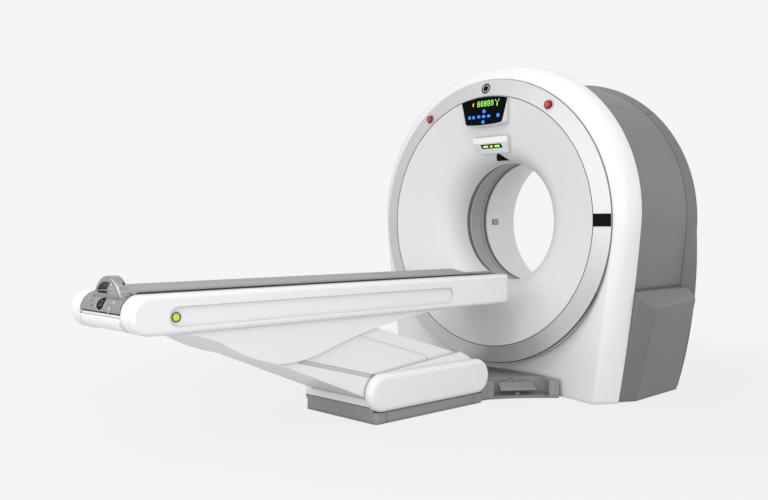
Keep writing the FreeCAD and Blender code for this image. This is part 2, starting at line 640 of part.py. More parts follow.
def display():
    """White housing with a lip, and the black screen let into it."""
    plate = new_body("display_plate")
    prism(plate, "XZ", display_corners(0), 0, dim.display_depth)
    prism(plate, "XZ", display_corners(dim.display_lip), 0, dim.screen_thick, remove=True)
    display_frame_place(plate)
    seat = new_body("display_seat", y=-dim.running_gap, z=dim.iso_height)
    turn(seat, "YZ", [
        (dim.ring_front_y, dim.ring_rim_radius), (dim.funnel_knee_y, dim.funnel_knee_radius),
        (0, dim.funnel_knee_radius), (0, dim.ring_radius), (dim.ring_edge_y, dim.ring_radius)])
    rear = new_body("display_box")
    prism(rear, "XZ", display_corners(dim.display_box_inset), dim.screen_thick * 2,
          dim.display_box_depth)
    display_frame_place(rear)
    keep(combine("Fuse", "display_housing", combine("Cut", "display_lid", plate, seat), rear),
         "display_housing")
    screen = new_body("display_screen")
    prism(screen, "XZ", display_corners(dim.display_lip + dim.trim_gap), -1, dim.screen_thick)
    display_frame_place(screen)
    keep(screen, "display_screen")


def lamp_slope(along, inward):
    """A spot on the lamp box's sloping underside, in side view: down the slope, then into it."""
    run = dim.lamp_chin_y - dim.lamp_nose_y
    drop = dim.lamp_strip_z - dim.lamp_bottom_z
    reach = root(run * run + drop * drop)
    return (dim.lamp_nose_y + (run * along + drop * inward) / reach,
            dim.lamp_strip_z + (run * inward - drop * along) / reach)


def lamp_box():
    """Hooded lamp box under the display, with its lens let into the slope below the nose."""
    box = new_body("light_box")
    prism(box, "XZ", lamp_corners(0), dim.lamp_nose_y, dim.lamp_back_y)
    front, under = dim.lamp_nose_y - 20, dim.lamp_bottom_z - 5
    slope = [(front, dim.lamp_strip_z), (dim.lamp_nose_y, dim.lamp_strip_z),
             (dim.lamp_chin_y, dim.lamp_bottom_z), (dim.lamp_chin_y, under), (front, under)]
    prism(box, "YZ", slope, -dim.lamp_half_top, dim.lamp_half_top, remove=True)
    first, last = dim.lens_start, dim.lens_start + dim.lens_length
    pocket = [lamp_slope(first, -5), lamp_slope(first, dim.lens_thick),
              lamp_slope(last, dim.lens_thick), lamp_slope(last, -5)]
    prism(box, "YZ", pocket, -dim.lens_half, dim.lens_half, remove=True)
    keep(box, "light_box")
    lens = new_body("light_lens")
    gap = dim.trim_gap
    plate = [lamp_slope(first + gap, -1), lamp_slope(first + gap, dim.lens_thick),
             lamp_slope(last - gap, dim.lens_thick), lamp_slope(last - gap, -1)]
    prism(lens, "YZ", plate, gap - dim.lens_half, dim.lens_half - gap)
    keep(lens, "light_lens")


def laser_window():
    """Black three-cornered window that lies on the curve of the bell mouth, its tip forward."""
    body = new_body("laser_ring", z=dim.iso_height)
    along, across, curve = knee_normal()
    centre = dim.aperture_radius + curve
    near, far = dim.laser_y, dim.laser_y + dim.laser_length
    inner = curve + dim.trim_gap / 5
    outer = inner + dim.laser_thick

    def height(station, reach):
        run = dim.throat_y - station
        return centre - root(reach * reach - run * run)

    turn(body, "YZ", [
        (near, height(near, outer), outer), (far, height(far, outer)),
        (far, height(far, inner), -inner), (near, height(near, inner))],
        angle=(dim.laser_half * 2) / dim.aperture_radius * 57.3)
    body.Placement.Rotation = FreeCAD.Rotation(FreeCAD.Vector(0, 1, 0), 1)
    bind(body, "Placement.Rotation.Angle", -dim.laser_half / dim.aperture_radius * 57.3)
    plan = new_body("laser_plan", z=dim.iso_height)
    half, tip = dim.laser_half, dim.laser_tip_half
    prism(plan, "XY", [(-tip, near), (tip, near), (half, far), (-half, far)],
          dim.aperture_radius - 50, dim.funnel_knee_radius)
    keep(combine("Common", "laser_window", body, plan), "laser_window")


def badge_plate():
    """Bare black plate across the ring at three o'clock, bent to the ring's bevel."""
    plate = new_body("badge_blank", z=dim.iso_height)
    gap = dim.trim_gap / 5
    thick = dim.badge_thick
    turn(plate, "YZ", [
        (dim.ring_front_y - thick, dim.ring_rim_radius), (dim.ring_edge_y - thick, dim.ring_radius),
        (dim.ring_edge_y - gap, dim.ring_radius), (dim.ring_front_y - gap, dim.ring_rim_radius)])
    window = new_body("badge_window", z=dim.iso_height)
    low = dim.ring_rim_radius - 30
    prism(window, "XZ", block(low, -dim.badge_height / 2, dim.ring_radius + 20, dim.badge_height / 2),
          dim.ring_front_y - 20, dim.ring_edge_y + 20)
    keep(combine("Common", "badge_plate", plate, window), "badge_plate")


def scan_window():
    """Thin x-ray window between the throat and the rear bore."""
    body = new_body("scan_window", z=dim.iso_height)
    wall = dim.window_wall
    front = dim.throat_y + dim.trim_gap
    turn(body, "YZ", [
        (front, dim.window_front_radius - 3), (dim.window_rear_y, dim.window_rear_radius),
        (dim.window_rear_y, dim.window_rear_radius + wall), (front, dim.window_front_radius - 3 + wall)])
    keep(body, "scan_window")


def bore_liner():
    """White rear bore that flares to the rear cover, with a front collar round the window."""
    body = new_body("bore_liner", z=dim.iso_height)
    wall = dim.funnel_wall
    front = dim.window_rear_y + dim.trim_gap
    turn(body, "YZ", [
        (front, dim.window_rear_radius), (front + wall, dim.liner_front_radius, dim.liner_bow),
        (dim.liner_rear_y, dim.liner_rear_radius), (dim.liner_rear_y, dim.liner_rear_radius + wall),
        (front + wall, dim.liner_front_radius + wall), (front, dim.liner_front_radius + wall)])
    keep(body, "bore_liner")


def top_wedge(name, widen):
    """A wedge about the isocentre that marks the removable top cover."""
    body = new_body(name, z=dim.iso_height)
    reach = dim.cutter_reach
    angle = dim.top_seam_angle
    corners = [(0, widen), (reach * sine(angle), widen + reach * cosine(angle)),
               (-reach * sine(angle), widen + reach * cosine(angle))]
    prism(body, "XZ", corners, dim.edge_y - 50, dim.back_y + 50)
    return body


def shell_skin():
    """The barrel shell between the front cover and the rear cover, before it is divided."""
    outer = new_body("shell_outer")
    loft(outer, [shell_outline(outer, dim.edge_y), shell_end_outline(outer, dim.shell_end_y)])
    inner = new_body("shell_inner")
    wall = dim.shell_wall
    below = dim.cover_base - 1
    loft(inner, [shell_outline(inner, dim.edge_y - 1, -wall, below),
                 shell_end_outline(inner, dim.shell_end_y + 1, -wall, below)])
    return outer, combine("Cut", "shell_skin", outer, inner)


def air_slots():
    """Slots through both shoulders of the top cover, close behind the front cover."""
    body = new_body("air_slots", z=dim.iso_height)
    low, high = dim.shell_bend - dim.slot_reach, dim.shell_crown + dim.slot_reach
    turn(body, "YZ", block(dim.slot_first_y, low, dim.slot_first_y + dim.slot_width, high),
         angle=dim.slot_sweep)
    document.recompute()
    sweep = body.Tip
    pattern = body.newObject("PartDesign::LinearPattern", "air_slot_rows")
    pattern.Originals = [sweep]
    pattern.Direction = (origin_axis(body, "Y_Axis"), [""])
    bind(pattern, "Length", dim.slot_pitch * (dim.slot_count - 1))
    bind(pattern, "Occurrences", dim.slot_count)
    body.Tip = pattern
    body.Placement.Rotation = FreeCAD.Rotation(FreeCAD.Vector(0, 1, 0), 1)
    bind(body, "Placement.Rotation.Angle", dim.slot_start_angle)
    twin = document.addObject("Part::Mirroring", "air_slots_left")
    twin.Source = body
    twin.Normal = (1, 0, 0)
    return body, twin


def origin_axis(body, role):
    return next(item for item in body.Origin.OriginFeatures if item.Role == role)


def shell_covers(skin):
    """Top cover with its air slots, and the side covers that reach the floor frame."""
    right_slots, left_slots = air_slots()
    top = combine("Common", "top_sector", skin, top_wedge("top_wedge", 0))
    keep(combine("Cut", "top_cover", top, right_slots, left_slots), "top_cover")
    half = new_body("right_half")
    prism(half, "XZ", block(0, BELOW_FLOOR, BEYOND, BEYOND * 2), dim.edge_y - 40, dim.back_y + 40)
    rest = combine("Cut", "side_rest", skin, top_wedge("top_gap", -dim.seam_gap * 1.4))
    right = keep(combine("Common", "side_cover_right", rest, half), "side_cover_right")
    mirror(right, "side_cover_left")


def rear_cover():
    """Flared rim and back panel in one moulding, with a front flange and a round bore opening."""
    wall = dim.cover_wall
    outer = new_body("rear_skin")
    loft(outer, [shell_end_outline(outer, dim.shell_end_y), rim_outline(outer, dim.rim_y)])
    edge = new_body("rear_edge")
    loft(edge, [rim_outline(edge, dim.rim_y), rim_outline(edge, dim.back_y, -dim.back_inset)])
    hollow = new_body("rear_hollow")
    below = dim.cover_base - 1
    loft(hollow, [shell_end_outline(hollow, dim.shell_end_y + wall, -wall, below),
                  rim_outline(hollow, dim.back_y - wall, -wall - dim.back_inset / 2, below)])
    mouth = new_body("rear_mouth")
    extrude(mouth, shell_end_outline(mouth, dim.shell_end_y + wall * 1.5, -dim.flange_reach / 4,
                                     below), wall * 3, False)
    bore = new_body("rear_bore", z=dim.iso_height)
    rod(bore, "XZ", 0, 0, dim.liner_rear_radius + dim.funnel_wall + dim.trim_gap,
        dim.back_y - 40, dim.back_y + 20)
    blank = combine("Fuse", "rear_blank", outer, edge)
    keep(combine("Cut", "rear_cover", blank, hollow, mouth, bore), "rear_cover")


def side_boxes(shell_outer):
    """Lower side box: leaning walls, sloped and rounded top, open towards the shell."""
    wall = dim.cover_wall

    def plan(body, level, front, nose, back, inset, base=None):
        corners = [
            (dim.box_inner, dim.box_front_y + inset), (front - inset, dim.box_front_y + inset),
            (nose - inset, dim.box_nose_y + inset / 2), (back - inset, dim.box_back_y - inset),
            (dim.box_inner, dim.box_back_y - inset)]
        return draw(body, "XY", corners, level)

    def slope(body, drop, low):
        start, reach = dim.box_slope_start, dim.box_top_nose + 40
        top = dim.box_top - drop
        corners = [(start, top), (reach, top - (reach - start) * dim.box_slope_drop),
                   (reach, dim.box_top + 40), (low, dim.box_top + 40), (low, top)]
        prism(body, "XZ", corners, dim.box_front_y - 30, dim.box_back_y + 30, remove=True)

    outer = new_body("box_outer")
    loft(outer, [plan(outer, dim.cover_base, dim.box_foot_front, dim.box_foot_nose,
                      dim.box_foot_back, 0),
                 plan(outer, dim.box_top, dim.box_top_front, dim.box_top_nose,
                      dim.box_top_back, 0)], ruled=True)
    slope(outer, 0, dim.box_slope_start - 1)
    fillet(outer, dim.box_round, lambda middle, edge: middle.x > dim.box_foot_back.value - 2
           and middle.z > dim.sill_height.value and middle.y > dim.box_front_y.value + 20
           and edge.Length > dim.box_round.value * 2)
    inner = new_body("box_hollow")
    loft(inner, [plan(inner, dim.cover_base - 1, dim.box_foot_front, dim.box_foot_nose,
                      dim.box_foot_back, wall),
                 plan(inner, dim.box_top - wall, dim.box_top_front, dim.box_top_nose,
                      dim.box_top_back, wall)], ruled=True)
    slope(inner, wall * 1.4, dim.box_inner - 10)
    right = keep(combine("Cut", "side_box_right", outer, inner, shell_outer), "side_box_right")
    mirror(right, "side_box_left")


# ---------------------------------------------------------------- gantry structure

def gantry_frame():
    """Floor plate that carries the covers, sill, and the wall that holds the main bearing."""
    body = new_body("gantry_frame")
    prism(body, "XY", block(-dim.frame_half, dim.frame_front_y, dim.frame_half, dim.frame_back_y),
          0, dim.frame_plate)
    prism(body, "XY", block(-dim.sill_half, dim.sill_front_y, dim.sill_half, dim.sill_back_y),
          dim.frame_plate, dim.sill_height)
    half, reach = dim.wall_half, dim.wall_radius
    hip_z = dim.iso_height + root(reach * reach - half * half)
    crown = dim.iso_height + reach
    wall = [(-half, dim.sill_height), (half, dim.sill_height), (half, hip_z, reach), (0, crown, reach),
            (-half, hip_z)]
    prism(body, "XZ", wall, dim.wall_front_y, dim.wall_back_y)
    rod(body, "XZ", 0, dim.iso_height, dim.bearing_outer_radius + dim.fit_gap,
        dim.wall_front_y - 5, dim.wall_back_y + 5, remove=True)
    for side in (-1, 1):
        middle = side * dim.rib_x
        back = [(dim.wall_back_y, dim.sill_height), (dim.wall_back_y + dim.rib_depth, dim.sill_height),
                (dim.wall_back_y, dim.sill_height + dim.rib_height)]
        prism(body, "YZ", back, middle - dim.rib_half, middle + dim.rib_half)
    for across in (-dim.anchor_x, dim.anchor_x):
        for along in (dim.anchor_front_y, dim.anchor_back_y):
            rod(body, "XY", across, along, dim.anchor_radius, -5, dim.sill_height + 5, remove=True)
    keep(body, "gantry_frame")


def bearing_outer():
    """Fixed race of the main bearing, bolted to the wall by its flange."""
    body = new_body("bearing_outer", z=dim.iso_height)
    inner = dim.hub_radius + dim.running_gap
    turn(body, "YZ", [
        (dim.bearing_front_y, inner), (dim.wall_back_y, inner),
        (dim.wall_back_y, dim.bearing_outer_radius), (dim.wall_front_y, dim.bearing_outer_radius),
        (dim.wall_front_y, dim.bearing_flange_radius),
        (dim.wall_front_y - dim.bearing_flange, dim.bearing_flange_radius),
        (dim.wall_front_y - dim.bearing_flange, dim.bearing_outer_radius - 12),
        (dim.bearing_front_y, dim.bearing_outer_radius - 12)])
    keep(body, "bearing_outer")


def rotor_ring():
    """The rotating ring: face plate, belt rim and the hub that runs in the main bearing."""
    body = new_body("rotor_ring", z=dim.iso_height)
    hub_back = dim.wall_back_y
    rim_start = dim.rotor_radius - dim.rotor_rim
    turn(body, "YZ", [
        (dim.rotor_front_y, dim.rotor_bore), (dim.rotor_front_y, dim.rotor_radius),
        (dim.rotor_back_y, dim.rotor_radius), (dim.rotor_back_y, rim_start),
        (dim.rotor_back_y - 10, rim_start), (dim.rotor_back_y - 10, dim.hub_radius),
        (hub_back, dim.hub_radius), (hub_back, dim.hub_radius - dim.hub_wall),
        (dim.rotor_back_y, dim.hub_radius - dim.hub_wall), (dim.rotor_back_y, dim.rotor_bore)])
    keep(body, "rotor_ring")


def xray_tube():
    """Tube housing with its narrower end caps, bolted to the front of the rotating ring."""
    body = new_body("xray_tube", z=dim.iso_height + dim.tube_centre)
    front, cap = dim.tube_front_y, dim.tube_cap
    turn(body, "YZ", [
        (front, 0), (dim.rotor_front_y, 0), (dim.rotor_front_y, cap),
        (dim.rotor_front_y - 24, dim.tube_radius), (front + 24, dim.tube_radius), (front, cap)])
    keep(body, "xray_tube")


def collimator():
    """Beam-shaping box between the tube and the bore, with its fan-shaped slit."""
    body = new_body("collimator", z=dim.iso_height)
    high = dim.tube_centre - dim.tube_radius - dim.running_gap
    prism(body, "XZ", block(-dim.collimator_half, dim.collimator_low, dim.collimator_half, high),
          dim.collimator_front_y, dim.rotor_front_y)
    slit = [(-dim.collimator_half * 0.75, dim.collimator_low - 5),
            (dim.collimator_half * 0.75, dim.collimator_low - 5), (12, high + 5), (-12, high + 5)]
    prism(body, "XZ", slit, -12, 12, remove=True)
    keep(body, "collimator")


def detector_arc():
    """Detector arc centred on the focal spot, with ribs between its modules at the back."""
    body = new_body("detector_arc", z=dim.iso_height + dim.tube_centre)
    inner, outer = dim.detector_radius, dim.detector_radius + dim.detector_depth
    turn(body, "YZ", [
        (dim.detector_front_y, inner), (dim.rotor_front_y, inner), (dim.rotor_front_y, outer),
        (dim.detector_front_y, outer)], angle=dim.detector_angle)
    groove = turn(body, "YZ", [
        (dim.detector_front_y - 5, outer - 14), (dim.rotor_front_y - 40, outer - 14),
        (dim.rotor_front_y - 40, outer + 5), (dim.detector_front_y - 5, outer + 5)],
        angle=dim.detector_angle / dim.detector_modules * 0.7, remove=True)
    document.recompute()
    pattern = body.newObject("PartDesign::PolarPattern", "detector_modules_row")
    pattern.Originals = [groove]
    pattern.Axis = (origin_axis(body, "Y_Axis"), [""])
    bind(pattern, "Angle", dim.detector_angle * (dim.detector_modules - 1) / dim.detector_modules)
    bind(pattern, "Occurrences", dim.detector_modules)
    body.Tip = pattern
    body.Placement.Rotation = FreeCAD.Rotation(FreeCAD.Vector(0, 1, 0), 1)
    bind(body, "Placement.Rotation.Angle", 180 - dim.detector_angle / 2)
    keep(body, "detector_arc")


def hv_generator():
    """High voltage generator case on the right of the ring."""
    body = new_body("hv_generator", z=dim.iso_height)
    half = dim.generator_half
    prism(body, "XZ", block(dim.generator_inner, -half, dim.generator_outer, half),
          dim.generator_front_y, dim.rotor_front_y)
    lid = block(dim.generator_inner + 14, -half + 14, dim.generator_outer - 14, half - 14)
    prism(body, "XZ", lid, dim.generator_front_y - 8, dim.generator_front_y)
    keep(body, "hv_generator")


def heat_exchanger():
    """Oil cooler on the left of the ring: a case with a row of fins on its front."""
    body = new_body("heat_exchanger", z=dim.iso_height)
    half = dim.generator_half
    fin_root = dim.exchanger_front_y + 60
    prism(body, "XZ", block(-dim.generator_outer, -half, -dim.generator_inner, half), fin_root,
          dim.rotor_front_y)
    fin = prism(body, "XZ", block(-dim.generator_outer, -half, -dim.generator_inner,
                                  dim.exchanger_fin - half), dim.exchanger_front_y, fin_root)
    document.recompute()
    pattern = body.newObject("PartDesign::LinearPattern", "cooler_fins")
    pattern.Originals = [fin]
    pattern.Direction = (origin_axis(body, "Z_Axis"), [""])
    bind(pattern, "Length", half * 2 - dim.exchanger_fin)
    bind(pattern, "Occurrences", dim.exchanger_fins)
    body.Tip = pattern
    keep(body, "heat_exchanger")


def counterweight():
    body = new_body("counterweight", z=dim.iso_height)
    turn(body, "YZ", [
        (dim.weight_front_y, dim.weight_inner), (dim.rotor_front_y, dim.weight_inner),
        (dim.rotor_front_y, dim.weight_outer), (dim.weight_front_y, dim.weight_outer)],
        angle=dim.weight_angle)
    body.Placement.Rotation = FreeCAD.Rotation(FreeCAD.Vector(0, 1, 0), 1)
    bind(body, "Placement.Rotation.Angle", 45 - dim.weight_angle / 2)
    keep(body, "counterweight")


def slip_ring():
    """Power and signal ring behind the hub, with its row of contact grooves."""
    body = new_body("slip_ring", z=dim.iso_height)
    start, end = dim.wall_back_y, dim.slip_back_y
    step = (end - start) / 7
    inner = dim.hub_radius - dim.hub_wall
    outline = [(end, inner), (start, inner), (start, dim.slip_radius)]
    for index in range(1, 7, 2):
        low, high = start + step * index, start + step * (index + 1)
        floor = dim.slip_radius - dim.slip_groove
        outline += [(low, dim.slip_radius), (low, floor), (high, floor), (high, dim.slip_radius)]
    outline.append((end, dim.slip_radius))
    turn(body, "YZ", outline)
    keep(body, "slip_ring")


def brush_block():
    """Carbon brush holder on the bearing wall, just clear of the slip ring."""
    body = new_body("brush_block", z=dim.iso_height)
    low = dim.slip_radius + 0.6
    corners = block(-dim.brush_half, low, dim.brush_half, low + dim.brush_height)
    prism(body, "XZ", corners, dim.wall_back_y, dim.brush_back_y)
    keep(body, "brush_block")


def drive_motor():
    body = new_body("drive_motor", x=dim.pulley_x, z=dim.pulley_z)
    rod(body, "XZ", 0, 0, dim.motor_radius, dim.motor_front_y, dim.wall_front_y)
    rod(body, "XZ", 0, 0, dim.shaft_radius + dim.fit_gap, dim.motor_front_y - 5,
        dim.wall_front_y - 20, remove=True)
    keep(body, "drive_motor")


def drive_pulley():
    body = new_body("drive_pulley", x=dim.pulley_x, z=dim.pulley_z)
    width = dim.belt_width
    rod(body, "XZ", 0, 0, dim.pulley_radius, dim.pulley_front_y, dim.pulley_front_y + width)
    rod(body, "XZ", 0, 0, dim.shaft_radius, dim.pulley_front_y + width, dim.wall_front_y - 21)
    keep(body, "drive_pulley")


def drive_belt():
    """Flat belt round the rotating ring and the motor pulley, 0.3 mm off both."""

    def hull(name, grow):
        body = new_body(name, z=dim.iso_height)
        across = dim.pulley_x
        down = dim.pulley_z - dim.iso_height
        reach = root(across * across + down * down)
        big, small = dim.rotor_radius + grow, dim.pulley_radius + grow
        lean = (big - small) / reach
        flat = root(1 - lean * lean)
        unit_x, unit_z = across / reach, down / reach

        def tangent(radius, side, from_x, from_z):
            return (from_x + radius * (unit_x * lean - side * unit_z * flat),
                    from_z + radius * (unit_z * lean + side * unit_x * flat))

        left_big = tangent(big, -1, 0, 0)
        right_big = tangent(big, 1, 0, 0)
        left_small = tangent(small, -1, across, down)
        right_small = tangent(small, 1, across, down)
        corners = [left_big, left_small + (small,), (across + unit_x * small, down + unit_z * small,
                                                    small),
                   right_small, right_big + (big,), (-unit_x * big, -unit_z * big, big)]
        prism(body, "XZ", corners, dim.pulley_front_y, dim.pulley_front_y + dim.belt_width)
        return body

    outer = hull("belt_outside", dim.running_gap + dim.belt_thick)
    keep(combine("Cut", "drive_belt", outer, hull("belt_inside", dim.running_gap)), "drive_belt")


# ---------------------------------------------------------------- table base

def table_plinth():
    """Grey skirt round the table's foot: a raised middle and a ledge under each side cover."""
    body = new_body("table_plinth")
    half, far, near, wall = dim.plinth_half, dim.plinth_far_y, dim.plinth_near_y, dim.plinth_wall
    core = dim.plinth_core_half
    prism(body, "XY", rounded_block(-half, far, half, near, dim.plinth_round), 0, dim.plinth_ledge)
    prism(body, "XY", block(-core, far, core, near), dim.plinth_ledge, dim.plinth_top)
    prism(body, "XY", block(-half, far, 1 - core, far + dim.lip_ear_depth), dim.plinth_ledge,
          dim.plinth_top)
    prism(body, "XY", block(wall - core, far + wall, core - wall, near - wall), -1,
          dim.plinth_top + 1, remove=True)
    keep(body, "table_plinth")


def base_frame():
    """Welded foot: floor plate, two shaft brackets, link lugs and actuator lugs."""
    body = new_body("base_frame")
    wall = dim.plinth_wall
    half = dim.plinth_core_half - wall
    plate = dim.base_plate
    prism(body, "XY", block(-half, dim.plinth_far_y + wall, half, dim.plinth_near_y - wall), 0, plate)

    def lug(inner, thickness, along, up, boss, spread):
        corners = [(along - spread, plate), (along + spread, plate), (along + boss, up, boss),
                   (along, up + boss, boss), (along - boss, up)]
        prism(body, "YZ", corners, inner, inner + thickness)

    for inner in (dim.bracket_inner, -dim.bracket_inner - dim.bracket_wall):
        lug(inner, dim.bracket_wall, dim.pivot_y, dim.pivot_z, dim.bracket_boss, dim.bracket_boss * 2)
    outer = dim.link_half + dim.lug_gap
    link_z = dim.pivot_z - dim.link_drop
    for inner in (outer, -outer - dim.lug_wall):
        lug(inner, dim.lug_wall, dim.pivot_y, link_z, dim.link_boss, dim.link_boss * 1.6)
    rod(body, "YZ", dim.pivot_y, link_z, dim.link_pin_radius, -outer, outer)
    reach = dim.jack_half + dim.lug_gap
    for inner in (dim.jack_x + reach, dim.jack_x - reach - dim.lug_wall):
        lug(inner, dim.lug_wall, dim.jack_base_y, dim.jack_base_z, dim.link_boss,
            dim.link_boss * 1.4)
    rod(body, "YZ", dim.jack_base_y, dim.jack_base_z, dim.link_pin_radius, dim.jack_x - reach,
        dim.jack_x + reach)
    rod(body, "YZ", dim.pivot_y, dim.pivot_z, dim.pivot_radius, -dim.bracket_inner * 2,
        dim.bracket_inner * 2, remove=True)
    for across in (-190, 190):
        for along in (dim.plinth_far_y + 130, dim.plinth_near_y - 370):
            rod(body, "XY", across, along, 8, -5, plate + 5, remove=True)
    keep(body, "base_frame")


def pivot_shaft():
    body = new_body("pivot_shaft", y=dim.pivot_y, z=dim.pivot_z)
    reach = dim.bracket_inner + dim.bracket_wall
    rod(body, "YZ", 0, 0, dim.pivot_radius, -reach, reach)
    keep(body, "pivot_shaft")


def base_deck():
    """White deck on the plinth, with a raised lip at the foot end and a well for the arm."""
    body = new_body("base_deck")
    low, high = dim.plinth_top, dim.plinth_top + dim.deck_thick
    far, lip = dim.plinth_far_y, dim.deck_lip
    corners = [(far, low), (dim.plinth_near_y, low), (dim.plinth_near_y, high),
               (far + dim.deck_lip_depth, high), (far + dim.deck_lip_depth, lip),
               (far + dim.deck_slope + 6, lip), (far + dim.deck_slope, lip - 6)]
    half = dim.plinth_core_half
    prism(body, "YZ", corners, -half, half)
    ear = [(far, low), (far + dim.lip_ear_depth, low), (far + dim.lip_ear_depth, lip),
           (far + dim.deck_slope + 6, lip), (far + dim.deck_slope, lip - 6)]
    prism(body, "YZ", ear, -dim.lip_ear_half, 1 - half)
    well = block(-dim.deck_well_half, dim.deck_well_far_y, dim.deck_well_half, dim.deck_well_near_y)
    prism(body, "XY", well, low - 1, high + 1, remove=True)
    keep(body, "base_deck")


def base_cover(name, far):
    """Round-ended side cover on the plinth's ledge, with the hump that hides the arm's pivot."""
    inner, outer = dim.plinth_core_half + dim.trim_gap, dim.base_cover_outer
    low, high = dim.plinth_ledge, dim.base_cover_top
    end = (high - low) / 2
    middle = (high + low) / 2
    near = dim.base_cover_near_y
    body = new_body(name)
    capsule = [(far + end, low), (near - end, low, end), (near, middle, end), (near - end, high),
               (far + end, high, end), (far, middle, end)]
    prism(body, "YZ", capsule, inner, outer)
    fillet(body, dim.base_cover_round, lambda spot, edge: spot.x > outer.value - 1)
    hump = [(dim.hump_far_y, middle), (dim.hump_near_y, middle), (dim.hump_near_y, high),
            (dim.hump_peak_y + 12, dim.hump_peak_z), (dim.hump_peak_y - 24, dim.hump_peak_z - 4),
            (dim.hump_far_y, high - 2)]
    prism(body, "YZ", hump, inner, inner + dim.hump_thick)
    return body


def base_covers():
    """The right cover runs on past the plinth; the left one ends short of the deck's lip."""
    keep(base_cover("base_cover_right", dim.base_cover_far_y), "base_cover_right")
    mirror(base_cover("base_cover_short", dim.left_cover_far_y), "base_cover_left")


# ---------------------------------------------------------------- lift arm

def beam(body, start, end, boss, height, low, high):
    """A flat bar with a round boss at each end, from one pivot to the other, in side view."""
    (y1, z1), (y2, z2) = start, end
    run, rise = y2 - y1, z2 - z1
    length = root(run * run + rise * rise)
    unit_y, unit_z = run / length, rise / length
    side_y, side_z = -unit_z * height / 2, unit_y * height / 2
    bar = [(y1 + side_y, z1 + side_z), (y1 - side_y, z1 - side_z), (y2 - side_y, z2 - side_z),
           (y2 + side_y, z2 + side_z)]
    rod(body, "YZ", y1, z1, boss, low, high)
    prism(body, "YZ", bar, low, high)
    rod(body, "YZ", y2, z2, boss, low, high)


def lift_arm():
    """Steel arm: two bored beams, cross tubes between them, and the actuator's fork."""
    inner, outer = dim.arm_beam_inner, dim.arm_beam_inner + dim.arm_beam_wall
    foot, head = (dim.pivot_y, dim.pivot_z), (dim.head_y, dim.head_z)
    right = new_body("arm_beam_right")
    beam(right, foot, head, dim.arm_boss, dim.arm_beam_height, inner, outer)
    for along, up in (foot, head):
        rod(right, "YZ", along, up, dim.pivot_radius + dim.fit_gap, inner - 5, outer + 5, remove=True)
    left = document.addObject("Part::Mirroring", "arm_beam_left")
    left.Source = right
    left.Normal = (1, 0, 0)
    tubes = new_body("arm_tubes")
    reach = dim.arm_cover_half - dim.arm_cover_wall
    for share in (0.52, 0.82):
        rod(tubes, "YZ", dim.pivot_y + (dim.head_y - dim.pivot_y) * share,
            dim.pivot_z + (dim.head_z - dim.pivot_z) * share, dim.arm_tube_radius, -reach, reach)
    fork = new_body("arm_fork")
    reach = dim.jack_half + dim.lug_gap + 4
    share = (dim.jack_arm_y - dim.pivot_y) / (dim.head_y - dim.pivot_y)
    top = dim.pivot_z + (dim.head_z - dim.pivot_z) * share
    for low in (dim.jack_x + reach, dim.jack_x - reach - dim.lug_wall):
        rod(fork, "YZ", dim.jack_arm_y, dim.jack_arm_z, dim.link_boss, low, low + dim.lug_wall)
        prism(fork, "YZ", block(dim.jack_arm_y - dim.link_boss, dim.jack_arm_z,
                                dim.jack_arm_y + dim.link_boss, top + 30), low, low + dim.lug_wall)
    prism(fork, "YZ", block(dim.jack_arm_y - dim.link_boss, top + 30, dim.jack_arm_y + dim.link_boss,
                            top + 42), -inner, inner)
    rod(fork, "YZ", dim.jack_arm_y, dim.jack_arm_z, dim.link_pin_radius, dim.jack_x - reach,
        dim.jack_x + reach)
    for low in (-outer, inner):
        prism(fork, "YZ", block(dim.jack_arm_y - dim.link_boss, top, dim.jack_arm_y + dim.link_boss,
                                top + 42), low, low + dim.arm_beam_wall)
    keep(combine("Fuse", "lift_arm", right, left, tubes, fork), "lift_arm")


def arm_cover_corners(grow):
    """The arm cover in side view. The underside is open where it stands over the base."""
    low = dim.arm_floor_z - grow
    near = dim.arm_near_round + grow
    return [
        (dim.arm_shoulder_y + grow, dim.arm_shoulder_z),
        (dim.arm_peak_y, dim.arm_peak_z + grow), (dim.arm_top_y, dim.arm_top_z + grow),
        (dim.arm_end_y, dim.arm_end_z + grow), (dim.arm_tail_y - grow, dim.arm_tail_z + grow),
        (dim.head_y - dim.arm_head_round - grow, dim.head_z, dim.arm_head_round + grow),
        (dim.arm_belly_y - grow * 0.39, dim.arm_belly_z - grow * 0.92),
        (dim.arm_bend_y, low), (dim.pivot_y, low, near), (dim.arm_shoulder_y + grow, dim.pivot_z)]


